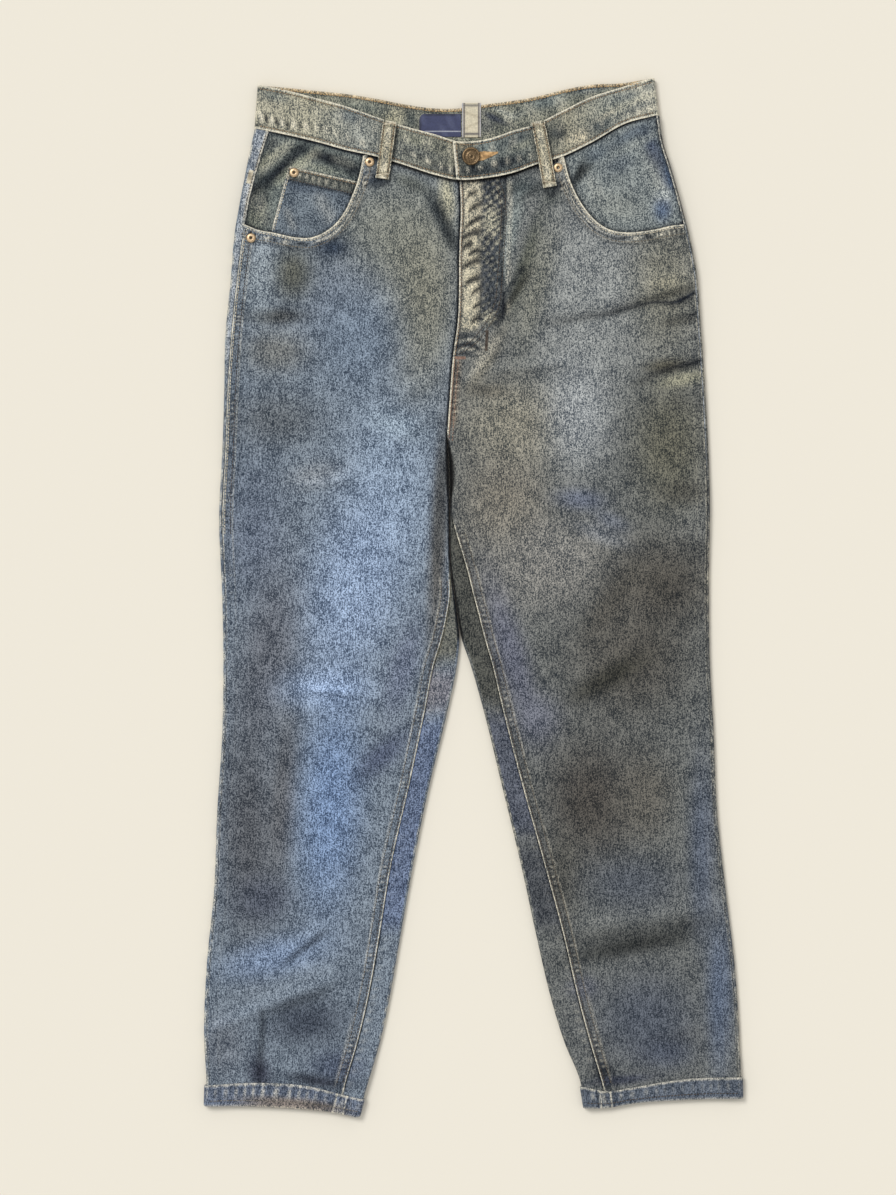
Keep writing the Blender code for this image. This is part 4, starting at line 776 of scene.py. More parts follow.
def bottom_line(leg, y, k):
    """x of the k-th place across the underside at height y, lined up with the back pocket's ramps."""
    inner = np.where(y > CROTCH_Y, SEAT_X + leg.out * SEAM_GAP / 2, leg.inner_edge(y) + leg.out * leg.inner_radius(y))
    outer = leg.edge(y) - leg.out * FOLD_RADIUS
    px, _, width, _, _ = leg.pocket
    near, far = px - leg.out * (width / 2 + 2), px + leg.out * (width / 2 + 2)
    hip = (near - leg.out * 8, near, near + (far - near) / 3, far - (far - near) / 3, far, far + leg.out * 8)
    even = [inner + (outer - inner) * (i + 1) / 7 for i in range(6)]
    share = smooth((y - FORK_Y) / FORK_RAMP)
    stations = [inner] + [e + (h - e) * share for e, h in zip(even, hip)] + [outer]
    i = min(int(k), 6)
    return stations[i] + (stations[i + 1] - stations[i]) * (k - i)


def fold_points(leg, y, edge_x, radius, out, angle, lift=0.0):
    """Points on a folded edge: half an ellipse from the top skin to the underside."""
    start = edge_x - out * radius
    high, low = leg.top(start, y), leg.floor(start, y)
    turn = math.radians(angle)
    z = (high + low) / 2 + ((high - low) / 2 + lift) * math.sin(turn)
    return np.stack([start + out * (radius + lift) * math.cos(turn), y, z], 1)


STRIP = np.array([0, 0.02, 0.045, 0.08, 0.13, 0.2, 0.3, 0.42, 0.56, 0.7, 0.85, 1.0])


def wrapped(leg, rows, place):
    """Skin of a back piece as columns of points: the strip beside the inseam, the inner fold, the
    underside, the outer fold and the strip up to the outseam. place moves points to the piece's ends."""
    half = leg.out * SEAM_GAP / 2
    columns = []

    def settle(line, high=False):
        """One column along a line, where x depends on the height and the row's height on x."""
        y = rows
        for _ in range(3):
            y = place(line(y), rows, high)
        return line(y), y

    def flat(line, high):
        """A column on the leg's top or on its underside."""
        x, y = settle(line, high)
        columns.append(np.stack([x, y, leg.top(x, y) if high else leg.floor(x, y)], 1))

    for share in STRIP:
        def line(y, share=share):
            """From the inseam to the inner fold, by share."""
            start = leg.inseam(np.minimum(y, CROTCH_Y)) - half
            return start + (leg.inner_edge(y) + leg.out * leg.inner_radius(y) - start) * share

        flat(line, True)
    x, y = settle(leg.inner_edge)
    columns += [fold_points(leg, y, x, leg.inner_radius(y), -leg.out, a) for a in FINE_ANGLES]
    for k in np.linspace(0, 7, 36):
        flat(lambda y, k=k: bottom_line(leg, y, k), False)
    x, y = settle(leg.edge)
    columns += [fold_points(leg, y, x, FOLD_RADIUS, leg.out, a) for a in FINE_ANGLES[::-1]]
    for share in (0.0, 0.35, 0.7, 0.9, 1.0):
        def line(y, share=share):
            """From the outer fold to the outseam, by share."""
            start = leg.edge(y) - leg.out * FOLD_RADIUS
            return start + (leg.outseam(y) + half - start) * share

        flat(line, True)
    return np.stack(columns, 1)


TOP_COLUMNS = len(STRIP) + len(FINE_ANGLES)
STRIP_TONES = {  # sRGB tone of the strip beside the inseam, and between which heights
    "left": (((98, 96, 82), -75, 40), ((122, 120, 128), -120, -60), ((94, 108, 138), -330, -105)),
    "right": (((62, 63, 58), -115, 90), ((78, 84, 100), -240, -100), ((66, 70, 78), -330, -225)),
}


def dressed(leg, grid):
    """Adds relief, wear and painted shade to a back piece: puckers beside both seams on the top with painted shade
    beside their raised edges, rubbed folds, and painted black shadow in the slit between the legs."""
    x, y, z = (grid[..., k] for k in range(3))
    columns = grid.shape[1]
    on_top = np.zeros(columns)
    on_top[: len(STRIP)], on_top[-5:] = 1, 1
    beside = np.abs(x - leg.inseam(np.minimum(y, CROTCH_Y)))
    outer = np.abs(x - leg.outseam(y))
    inner_side = np.arange(columns) < TOP_COLUMNS
    pucker = np.where(inner_side, 0.5 * ripple(y, 9.0, 4.0) * bell(beside - 4.5, 3.0), 0.0)
    outer_pucker = np.where(inner_side, 0.0, ripple(y, 11.0, 2.3) * bell(outer - 3, 5.0))
    # line is a shallow groove beside each seam's raised edge, painted dark as its shade.
    line = np.where(inner_side, bell(beside - 0.4, 0.8), 0.6 * bell(outer - 0.5, 1.2) * smooth((y + 100) / 200))
    grid[..., 2] = z + (0.3 * pucker + 0.35 * outer_pucker - 0.3 * line + 0.8 * worn_form(x, y)) * on_top
    wear_and_shade = (0.3 * pucker + 0.45 * outer_pucker - 0.95 * line) * on_top
    wear_and_shade = wear_and_shade + 0.1 * np.sin(y / 31 + x / 17) * (1 - on_top)
    turned = np.zeros(columns)
    turned[len(STRIP) : TOP_COLUMNS], turned[-5 - len(FINE_ANGLES) : -5] = 1, 1
    inner_rub = (0.05 + 0.2 * ripple(y, 12.0, 0.5)) * smooth((np.abs(y + 10) - 20) / 60)
    outer_rub = (0.16 + 0.26 * ripple(y, 23.0, 0.5)) * (1.0 if leg.name == "left" else 0.5)
    wear_and_shade = wear_and_shade + turned * np.where(inner_side, inner_rub, outer_rub)
    wash = worn_and_shaded(wash_of(leg, x, y), wear_and_shade)
    upper = (1 - inner_side) * on_top * smooth((y - 100) / 80)
    wash = toned(wash, (158, 165, 174), 0.75 * upper * (0.8 + 0.2 * ripple(y, 17.0, 1.0)))
    wash = worn_and_shaded(wash, 0.85 * bell(outer - 1.2, 1.1) * (1 - inner_side) * on_top * smooth((y - 352) / 6))
    strip = inner_side * on_top
    for tone, low, high in STRIP_TONES[leg.name]:
        wash = toned(wash, tone, 0.75 * strip * smooth((y - low) / 25) * smooth((high - y) / 25))
    # Painted black shadow on the inner fold and the strip in the slit between the legs.
    fold = turned * inner_side * smooth((y + 46) / 8) * smooth((160 - y) / 8)
    return toned(wash, (10, 10, 12), np.maximum(0.97 * shadowed_hollow(x, y) * inner_side, 0.9 * fold))


def back_panel(leg):
    """The wrapped skin from the hem to the yoke seam, without the inner fold above the crotch."""
    rows = np.concatenate([np.linspace(HEM_Y, MOUTH_Y, 380), [365.0, YOKE_Y]])

    def place(x, y, high):
        """Rows along the hem at the foot and along the yoke seam at the top."""
        seam = yoke_seam(x) - SEAM_GAP / 2
        y = y + 0 * seam
        fade = smooth((rows[:12] - rows[0]) / (rows[11] - rows[0]))
        y[:12] = y[:12] * fade + ((leg.hem(x) + 1.0 + 0 * y)[:12] + rows[:12] - rows[0]) * (1 - fade)
        y[-1] = (seam + 0 * y)[-1]
        y[-2] = (MOUTH_Y + y[-1]) / 2
        return y

    grid = wrapped(leg, rows, place)
    wash = dressed(leg, grid)
    keep = np.ones((grid.shape[0] - 1, grid.shape[1] - 1), bool)
    keep[rows[:-1] >= CROTCH_Y - 1, :TOP_COLUMNS] = False
    thing = cloth(f"denim_back_{leg.name}", grid, wash, CLOTH, "denim", f"back_{leg.name}", keep, up=(100, 2))


for leg in LEGS.values():
    back_panel(leg)

# Back yokes.
# Two shaped denim pieces between the back panels and the waistband. Each goes round the outer fold and
# shows as a narrow strip beside the outseam.
YOKE_ROWS = np.array([YOKE_Y, 410.0, 430.0, 446.0])


def yoke_row(x, upper, k):
    """Height of the k-th of the yoke's four main rows; the last two lie over the loops' ends."""
    upper, lower = upper - SEAM_GAP / 2, yoke_seam(x) + SEAM_GAP / 2
    rows = [lower, np.maximum(upper - 36.0, lower + 2.5), upper - 16.0, upper]
    i = min(int(k), 2)
    return rows[i] + (rows[i + 1] - rows[i]) * (k - i)


def yoke(leg):
    """The wrapped skin from the yoke seam to the waistband."""
    steps = np.linspace(0, 3, 28)
    rows = np.interp(steps, range(4), YOKE_ROWS)

    def place(x, y, high):
        """Rows from the yoke seam to the waistband's seam."""
        x = x + 0 * y
        upper = (front_seam if high else back_seam)(x)
        return np.array([yoke_row(x[i], upper[i], k) for i, k in enumerate(steps)])

    grid = wrapped(leg, rows, place)
    wash = dressed(leg, grid)
    keep = np.ones((grid.shape[0] - 1, grid.shape[1] - 1), bool)
    keep[:, :TOP_COLUMNS] = False
    up = (10, grid.shape[1] - 3)
    thing = cloth(f"denim_yoke_{leg.name}", grid, wash, CLOTH, "denim", f"yoke_{leg.name}", keep, up)


for leg in LEGS.values():
    yoke(leg)

# Turn-ups.
# The hems are folded up once by 2 cm and pressed, so the pale inside of the cloth shows, puckered
# across between the fold and the upper edge.
CUFF_Y = -475.0


def cuff(leg):
    """A closed profile carried round the leg's end: outside up, over the edge, inside down, and round
    the fold. Each point has a share of the turn-up's height and a share of its thickness."""
    fold = np.radians(np.linspace(-90, 90, 7)[1:-1])
    up = np.concatenate([[0, 0.05, 0.1], np.linspace(0.16, 0.84, 9), [0.9, 0.95, 1]])
    height = np.concatenate([up, 1 + 0.045 * np.cos(fold), up[::-1], -0.045 * np.cos(fold)])
    depth = np.concatenate([np.ones(15), 0.5 - 0.5 * np.sin(fold), np.zeros(15), 0.5 + 0.5 * np.sin(fold)])
    edge, inner = leg.edge(CUFF_Y), leg.inner(CUFF_Y)
    outer_x, inner_x = edge - leg.out * FOLD_RADIUS, inner + leg.out * FOLD_RADIUS
    lift = SEAM_GAP + CUFF * depth
    points, tones = [], []

    seam_x = float(leg.inseam(CUFF_Y))
    tone = (100, 110, 128) if leg.name == "left" else (88, 96, 108)
    uneven = 1.0 if leg.name == "left" else 0.55

    def shaded(x, y, side):
        """Tones of one line of the profile: puckers, a pale fold and rim, and the lump at the inseam."""
        wave = ripple(x + side, 9.5, 1.0) * uneven
        wear_and_shade = 0.4 * wave * bell(height - 0.7, 0.3) - 0.2 * bell(height - 0.84, 0.07) - 0.3 * bell(height - 0.2, 0.05)
        wear_and_shade = wear_and_shade + 0.4 * bell(height - 1, 0.09) + 0.3 * bell(height + 0.02, 0.06)
        lump = np.abs(x - seam_x) if side == 0 else 99.0
        wear_and_shade = wear_and_shade + 0.6 * bell(lump - 5.4, 0.9) - 0.6 * bell(lump - 7.4, 1.0) + 0.2 * bell(lump, 3.0)
        base = np.broadcast_to(linear(tone), (len(y), 3))
        if leg.name == "left" and side == 0:
            brown = np.exp(-(((x + 170) / 52) ** 4)) * smooth((0.62 - height) / 0.35)
            base = toned(base, (120, 112, 107), 0.95 * brown)
        tones.append(worn_and_shaded(base, wear_and_shade * (depth > 0.4)))

    def run(x, high):
        """One line of the profile on the top or the underside."""
        y = leg.hem(x) + (leg.cuff_top(x) - leg.hem(x)) * height
        slant = x + (leg.edge(y) - edge) * (x - inner) / (edge - inner)
        slant = slant + (leg.inner(y) - inner) * (edge - x) / (edge - inner)
        skin = leg.top(slant, y) if high else leg.floor(slant, y)
        bulge = 0.35 * ripple(x, 9.5, 1.0) * np.sin(np.pi * np.clip(height, 0, 1)) * (depth > 0.5) if high else 0.0
        bulge = bulge + (0.7 * bell((x - seam_x) / 6.5, 1.0) ** 3 * (depth > 0.5) if high else 0.0)
        points.append(np.stack([slant, y, skin + (lift + bulge if high else -lift)], 1))
        shaded(x, y, 0 if high else 40)

    def turn(x, out, edge_at, angles):
        """The profile turned round the leg's edge."""
        y = leg.hem(x) + (leg.cuff_top(x) - leg.hem(x)) * height
        for angle in angles:
            whole = [fold_points(leg, y, edge_at(y), FOLD_RADIUS, out, angle, extra) for extra in (0.0, 1.0)]
            points.append(whole[0] + (whole[1] - whole[0]) * lift[:, None])
            shaded(x, y, 80 + angle / 10)

    runs = np.linspace(outer_x, inner_x, 130)
    for x in runs:
        run(x, True)
    turn(runs[-1], -leg.out, leg.inner, FINE_ANGLES)
    for x in runs[::-2]:
        run(x, False)
    turn(runs[0], leg.out, leg.edge, FINE_ANGLES[::-1])
    grid = np.stack(points, 1)
    grid, wash = np.concatenate([grid, grid[:1]]), np.stack(tones, 1)
    count = len(height)
    mesh_grid = grid[:count]
    thing = cloth_ring(f"turn_up_{leg.name}", mesh_grid, wash, "denim_light", f"cuff_{leg.name}")


def cloth_ring(name, grid, wash, slot, node):
    """Cloth closed both ways, as a ring with a closed profile."""
    rows, columns = grid.shape[:2]
    index = np.pad(np.arange(rows * columns).reshape(rows, columns), (0, 1), "wrap")
    points = grid.reshape(-1, 3)
    faces = net(index, points, (5, 10)).reshape(-1, 4).tolist()
    return piece(name, points, faces, wash.reshape(-1, 3), denim(slot), node)


for leg in LEGS.values():
    cuff(leg)

# Pocket facings.
# Denim behind each curved mouth, running from under the front panel to the outseam and the waistband.
# The left one hangs in slanting folds.
DROP_MORE = {"left": 2.7, "right": 1.8}
FACING_FOLDS = {
    "left": (
        (-161, 433, -206, 389, -1.5, 6), (-172, 437, -212, 400, 1.3, 6), (-150, 428, -182, 396, 1.2, 6),
        (-128, 412, -110, 408, -1.3, 7), (-205, 380, -200, 352, 0.8, 6), (-185, 444, -208, 425, 0.8, 5),
    ),
    "right": ((170, 430, 185, 370, 0.9, 9), (130, 430, 150, 372, -0.9, 9), (110, 405, 120, 385, 0.8, 6)),
}
FACING_TONE = {"left": (108, 116, 115), "right": (124, 131, 132)}
# The dark narrow patches on the left are painted shade in the troughs of its folds.
FACING_TONES = {
    "left": (
        (-187, 408, 38, 6, 42, (26, 32, 40), 1.0), (-196, 420, 24, 6, 38, (150, 150, 132), 0.7),
        (-170, 412, 26, 5, 40, (146, 148, 130), 0.75), (-205, 396, 20, 4, 55, (44, 52, 58), 0.8),
        (-138, 420, 22, 7, -18, (24, 30, 38), 1.0), (-116, 410, 10, 7, -30, (30, 36, 44), 0.9),
        (-148, 411, 22, 4, -14, (132, 136, 124), 0.7), (-168, 429, 12, 5, 20, (44, 50, 54), 0.8),
        (-207, 368, 10, 20, -15, (124, 126, 112), 0.7), (-200, 384, 4, 16, -20, (58, 64, 66), 0.7),
        (-192, 434, 12, 7, 30, (84, 90, 92), 0.7), (-196, 362, 6, 12, 0, (84, 90, 92), 0.6),
        (-124, 418, 12, 5, -18, (124, 126, 120), 0.6), (-208, 378, 7, 9, -15, (150, 150, 142), 0.6),
    ),
    "right": (
        (173, 427, 8, 24, 25, (46, 62, 88), 0.9), (187, 400, 7, 18, 20, (52, 70, 96), 0.85),
        (181, 372, 9, 12, 0, (66, 88, 120), 0.85), (182, 386, 8, 5, 0, (172, 180, 182), 0.7),
        (102, 407, 5, 17, -28, (34, 38, 40), 0.95), (112, 415, 4, 14, -35, (60, 64, 64), 0.8),
        (135, 375, 26, 14, -10, (132, 136, 132), 0.6), (118, 425, 12, 8, 30, (112, 124, 134), 0.6),
        (150, 443, 24, 6, 28, (74, 86, 100), 0.7), (160, 436, 22, 4, 28, (142, 148, 146), 0.6),
        (140, 415, 16, 9, 25, (92, 102, 112), 0.6),
    ),
}


def right_of(line):
    """Unit steps to the right of a line's direction at each of its points."""
    run = np.gradient(line, axis=0)
    run /= np.linalg.norm(run, axis=1)[:, None]
    return np.stack([run[:, 1], -run[:, 0]], 1)


def facing_drop(leg, x, y):
    """How far the facing lies below the front panel's skin: more away from the seams."""
    deep = smooth((front_seam(x) - y) / 22)
    return (1.0 + DROP_MORE[leg.name] * deep) * smooth((leg.outseam(y) - x) * leg.out / 8)


def facing_skin(leg, x, y):
    """Skin of the facing, with its folds held down at the seams."""
    held = smooth((front_seam(x) - y) / 12) * smooth((leg.outseam(y) - x) * leg.out / 6)
    return leg.top(x, y) - facing_drop(leg, x, y) + folds(x, y, FACING_FOLDS[leg.name]) * held * 0.8


def pocket_facing(leg):
    """A net between a line 8 to 10 mm under the mouth's edge and the outseam and waistband, with deep
    shade next to all of them."""
    half = SEAM_GAP / 2
    count = 90
    mouth = resampled(leg.mouth, count)
    under = right_of(mouth) * -leg.out
    place = np.linspace(0, 1, count)
    reach = np.interp(place, [0, 0.06, 0.14, 0.8, 0.93, 1], [-0.3, 0.5, 8, 10, 6, -0.3])
    near = mouth + under * reach[:, None]
    corner_y = front_seam(leg.outseam(446.0)) - half
    corner_x, past = leg.outseam(corner_y) - leg.out * half, leg.mouth[-1, 0] + leg.out * SEAM_GAP
    seam_y = np.linspace(MOUTH_Y + 1, corner_y, 30)
    waist_x = np.linspace(corner_x, past, 60)[1:]
    far = np.concatenate(
        [
            np.stack([leg.outseam(seam_y) - leg.out * half, seam_y], 1),
            np.stack([waist_x, front_seam(waist_x) - half], 1),
        ]
    )
    far = placed(far, place * run_length(far)[-1])
    near[-1] = [past, far[-1, 1] - 6]
    xy = near + (far - near) * np.linspace(0, 1, 50)[:, None, None]
    x, y = xy[..., 0], xy[..., 1]
    # Painted shade under the waistband's edge, beside the outseam and under the mouth's edge, and a little painted
    # light and shade on the folds.
    wear_and_shade = 0.1 * folds(x, y, FACING_FOLDS[leg.name]) - 1.0 * bell(np.maximum(front_seam(x) - y - 0.8, 0), 1.8)
    gap, _ = along_line(x, y, mouth)
    wear_and_shade = wear_and_shade - 0.85 * bell(leg.outseam(y) - x, 1.8) - 0.75 * bell(gap, 2.8)
    base = np.broadcast_to(linear(FACING_TONE[leg.name]), (*x.shape, 3))
    wash = worn_and_shaded(patched(base, FACING_TONES[leg.name], x, y), wear_and_shade)
    grid = np.dstack([x, y, facing_skin(leg, x, y)])
    node = f"pocket_facing_{leg.name}"
    thing = cloth(f"facing_{leg.name}", grid, wash, CLOTH, "denim_light", node, up=(25, 40))


for leg in LEGS.values():
    pocket_facing(leg)

# Coin pocket.
# A small patch of darker denim on the left facing, with a folded top band that is stitched twice. Its
# lower part goes under the front panel's mouth.
COIN_TOP = ((-177.0, 413.0), (-106.0, 396.8))
COIN_BOTTOM_LEFT = (-193.5, 352.0)
COIN_RISE, COIN_FOLD = 0.55, 0.5  # how far the patch stands off the facing, and its folded band off the patch


def straight(start, end, shares):
    """Points at shares of the way from start to end."""
    start, end = np.array(start, float), np.array(end, float)
    return start + (end - start) * shares[:, None]


leg = LEGS["left"]
mouth = resampled(leg.mouth, 120)[22:101]
near = mouth + right_of(mouth) * 7.0
left_side = straight(COIN_BOTTOM_LEFT, COIN_TOP[0], np.linspace(0, 1, 36))
far = np.concatenate([left_side, straight(*COIN_TOP, np.linspace(0, 1, 44)[1:])])
xy = near + (far - near) * np.linspace(0, 1, 44)[:, None, None]
x, y = xy[..., 0], xy[..., 1]
below_top, beside_corner = along_line(x, y, COIN_TOP)
band = smooth((12.8 - below_top) / 1.0)
from_side, _ = along_line(x, y, (COIN_BOTTOM_LEFT, COIN_TOP[0]))
pucker = ripple(beside_corner, 6.2, 0.4) * bell(below_top - 6.5, 3.2)
z = leg.top(x, y) - facing_drop(leg, x, y) + CLOTH + COIN_RISE + COIN_FOLD * band + 0.3 * pucker
gap, _ = along_line(x, y, MOUTH_LINE["left"])
# Painted shade under the folded band's lower edge and under the mouth's edge, which lies over the patch, and a little
# painted light and shade on two folds.
wear_and_shade = 0.7 * bell(below_top - 0.7, 0.9) + 0.45 * pucker - 0.8 * bell(below_top - 13.6, 1.3)
wear_and_shade = wear_and_shade + 0.75 * bell(from_side - 0.6, 0.8) * smooth(below_top / 14) - 0.4 * bell(below_top - 3.2, 1.0)
wear_and_shade = wear_and_shade - 0.7 * bell(gap, 2.4) + 0.12 * folds(x, y, ((-180, 372, -172, 352, 1, 4), (-150, 385, -130, 352, 1, 7)))
wash = toned(np.broadcast_to(linear((103, 113, 123)), (*x.shape, 3)), (90, 92, 86), 0.9 * band)
wash = patched(wash, ((-165, 392, 20, 5, -14, (66, 76, 90), 0.7), (-134, 384, 14, 6, -20, (70, 80, 92), 0.6)), x, y)
grid = np.dstack([x, y, z])
thing = cloth("coin_patch", grid, worn_and_shaded(wash, wear_and_shade), CLOTH, "denim_dark", "coin_pocket", up=(20, 40))

# Waistband.
# One long band of doubled denim, felled over the top of all panels. Its buttonhole end laps over its
# button end at the front, and behind it the inside of the back half shows.
BAND, BAND_SKIN, BAND_BACK = 2.6, 7.8, 1.5
LAP_RISE, LAP_END, LAP_FLAT, LAP_LOW, UNDERLAP_END = BAND + SEAM_GAP, -16.5, 30.0, 64.0, 26.0
BAND_SIDES, BAND_WIDE = {"left": -207.0, "right": 174.8}, 3.0
SLOT_X, SLOT_SHARE = (-4.6, 20.5), (0.572, 0.598)
share = np.unique(np.concatenate([np.linspace(0, 1, 29), SLOT_SHARE, [0.01, 0.02, 0.05, 0.95, 0.98, 0.99]]))
columns, tones = [], []


def band_line(x, low, high):
    """A line across the band from its seam to its upper edge. The side ends lean in."""
    lean = 3.0 * smooth((-x - 150) / 57) - 4.5 * smooth((x - 120) / 55)
    return x + lean * share, low + (high - low) * share


BAND_TONES = (  # x, sRGB tone of the outside of the band
    (-207, 150, 148, 134), (-160, 156, 154, 138), (-110, 138, 142, 138), (-60, 128, 130, 122),
    (-20, 126, 126, 114), (10, 104, 110, 108), (45, 104, 110, 108), (90, 138, 136, 122),
    (130, 134, 138, 132), (160, 172, 170, 156), (176, 176, 174, 160),
)
BAND_PATCHES = (
    (-190, 480, 16, 6, -10, (112, 120, 118), 0.7), (-150, 474, 34, 5, -16, (170, 166, 146), 0.7),
    (-120, 462, 14, 8, -15, (96, 106, 112), 0.7), (-60, 440, 26, 6, -20, (138, 140, 126), 0.7),
    (-48, 424, 26, 6, -18, (84, 90, 92), 0.6), (-30, 410, 16, 3.5, -12, (52, 60, 68), 0.7),
    (30, 415, 20, 6, 15, (44, 50, 56), 0.9), (2, 408, 22, 4, 5, (44, 50, 56), 0.85),
    (14, 430, 14, 6, 10, (110, 120, 120), 0.7), (46, 432, 12, 4, 25, (138, 140, 128), 0.6),
    (40, 438, 12, 4, 25, (74, 82, 86), 0.8), (-10, 432, 10, 4, 0, (158, 148, 124), 0.7),
    (80, 444, 10, 8, 10, (52, 58, 62), 0.9), (101, 440, 10, 6, 20, (188, 180, 158), 0.85),
    (120, 452, 12, 6, 28, (76, 84, 88), 0.85), (140, 470, 22, 5, 24, (150, 152, 140), 0.6),
    (146, 479, 16, 5, 18, (98, 108, 112), 0.7), (128, 462, 12, 3, 28, (176, 172, 156), 0.7),
    (168, 488, 8, 5, 20, (104, 112, 114), 0.7), (160, 470, 14, 4, 22, (112, 120, 122), 0.6),
)
INSIDE_PATCHES = (
    (-75, 462, 12, 8, 20, (168, 164, 142), 0.7), (-60, 458, 6, 12, 10, (70, 78, 80), 0.8),
    (-110, 470, 26, 5, -10, (112, 120, 116), 0.6), (20, 459, 15, 4, -25, (40, 48, 66), 0.9),
    (26, 466, 15, 2.5, -25, (164, 168, 160), 0.7), (40, 462, 12, 4, 15, (140, 144, 138), 0.6),
    (70, 476, 20, 8, 12, (104, 116, 120), 0.7), (110, 488, 18, 6, 5, (92, 104, 112), 0.7),
    (-150, 478, 30, 6, -8, (136, 136, 122), 0.6), (12, 452, 8, 7, 0, (60, 68, 76), 0.8),
)


def band_tone(xs, ys, x, extra, inside=False):
    """Wash of the band: dark puckers and pale rubbed spots along its lower half, pale rolled edges with a darker
    groove inside them, and painted shadow beside the belt loops."""
    tone = [np.interp(x, [row[0] for row in BAND_TONES], [row[k] for row in BAND_TONES]) for k in (1, 2, 3)]
    base = np.broadcast_to(linear((126, 128, 118) if inside else tone), (len(xs), 3))
    base = patched(base, INSIDE_PATCHES if inside else BAND_PATCHES, xs, ys)
    if inside:
        wear_and_shade = 0.3 * bell(share - 0.99, 0.02) - 0.6 * bell(share - 0.92, 0.025)
        wear_and_shade = wear_and_shade + 0.16 * ripple(x + 20 * share, 24.0, 2.0)
        tones.append(worn_and_shaded(toned(base, (178, 156, 122), 0.8 * smooth((share - 0.93) / 0.03)), wear_and_shade))
        return
    size = np.interp(x, (-200, -100, -82, -30, 20, 60, 100, 170), (1.0, 0.9, 0.35, 0.4, 0.55, 0.65, 0.3, 0.2))
    dab = size * ripple(x + 9 * share, 11.5, 0.8) * bell(share - 0.29 - 0.05 * math.sin(x / 13), 0.085)
    upper = ripple(x - 5 * share, 19.0, 2.9) * bell(share - 0.72, 0.16)
    wear_and_shade = 1.25 * dab + 0.26 * upper + 1.0 * bell(share - 0.99, 0.03) + 1.0 * bell(share - 0.015, 0.03)
    wear_and_shade = wear_and_shade - 0.55 * bell(share - 0.925, 0.024) - 0.6 * bell(share - 0.085, 0.028)
    # Painted shadow beside the belt loops.
    for top, bottom in LOOP_SHADE.values():
        middle = top[0] + (bottom[0] - top[0]) * (top[1] - ys) / (top[1] - bottom[1])
        wear_and_shade = wear_and_shade - 0.55 * bell(np.maximum(np.abs(xs - middle) - 6, 0), 2.4)
    tones.append(worn_and_shaded(base, wear_and_shade + extra))


def front_run(x, lapped):
    """One column of the band's outside. The buttonhole end climbs over the button end."""
    xs, ys = band_line(x, front_seam(x) + SEAM_GAP / 2, front_top(x))
    z = BAND_SKIN + 0.35 * np.sin(np.pi * share) + 0.4 * ripple(x + 7 * share, 11.5, 0.8) * bell(share - 0.27, 0.14)
    z = z + 0.3 * bell(share - 0.012, 0.03) - 0.25 * bell(share - 0.075, 0.03) - 0.2 * bell(share - 0.935, 0.03)
    if lapped:
        z = z + LAP_RISE * smooth((LAP_LOW - x) / (LAP_LOW - LAP_FLAT))
        xs = xs - 3.5 * smooth((LAP_FLAT - x) / (LAP_FLAT - LAP_END)) * share
    else:
        z = np.where(x > LAP_END - 4, BAND_SKIN + 0.35 * np.sin(np.pi * share), z)
    columns.append(np.stack([xs, ys, z], 1))
    from_end = x - LAP_END if lapped else LAP_END - x
    # The lapped end gets a pale rubbed edge. The button end gets painted shade next to the lapped end's raised edge,
    # and the lapped end gets painted shade round the button.
    extra = 1.0 * bell(from_end - 0.5, 2.0) - 0.4 * bell(from_end - 4.0, 1.2) if lapped else -0.7 * bell(from_end, 3.0)
    round_slot = bell((xs - 8) / 15, 1.0) ** 3 * bell((share - 0.585) / 0.1, 1.0)
    button_shade = bell(np.maximum(np.hypot(xs + 2.4, ys - 420.4) - 8.4, 0), 2.2)
    band_tone(xs, ys, x, extra + lapped * (0.2 * round_slot - 0.6 * button_shade))


def back_run(x):
    """One column of the band's inside, which shows behind the front."""
    xs, ys = band_line(x, back_seam(x) + SEAM_GAP / 2, back_top(x))
    columns.append(np.stack([xs, ys, np.full(len(xs), BAND_BACK)], 1))
    band_tone(xs, ys, x, 0.0, inside=True)


def side_fold(leg, angles):
    """Columns round the band's fold at a side: half an ellipse from the front to the back."""
    x = BAND_SIDES[leg.name]
    xs, ys = band_line(x, front_seam(x) + SEAM_GAP / 2, front_top(x))
    for turn in np.radians(angles):
        z = (BAND_SKIN + BAND_BACK) / 2 + (BAND_SKIN - BAND_BACK) / 2 * math.sin(turn)
        columns.append(np.stack([xs + leg.out * BAND_WIDE * math.cos(turn), ys, np.full(len(xs), z)], 1))
        band_tone(xs, ys, x, 0.15)


front_right = np.concatenate([np.linspace(LAP_END, BAND_SIDES["right"], 130), SLOT_X, [LAP_END + 0.7]])
front_right = np.unique(front_right)
for x in front_right:
    front_run(x, True)
side_fold(LEGS["right"], FINE_ANGLES)
for x in np.linspace(BAND_SIDES["right"], BAND_SIDES["left"], 150):
    back_run(x)
side_fold(LEGS["left"], FINE_ANGLES[::-1])
for x in np.linspace(BAND_SIDES["left"], UNDERLAP_END, 150):
    front_run(x, False)
grid, wash = np.stack(columns, 1), np.stack(tones, 1)
keep = np.ones((grid.shape[0] - 1, grid.shape[1] - 1), bool)
slot_rows = (share[:-1] > SLOT_SHARE[0] - 0.01) & (share[1:] < SLOT_SHARE[1] + 0.01)
slot_columns = np.zeros(keep.shape[1], bool)
slot_columns[: len(front_right) - 1] = (front_right[:-1] >= SLOT_X[0]) & (front_right[1:] <= SLOT_X[1])
keep[np.ix_(slot_rows, slot_columns)] = False
thing = cloth("band", grid, wash, BAND, "denim", "waistband", keep, up=(5, 60))

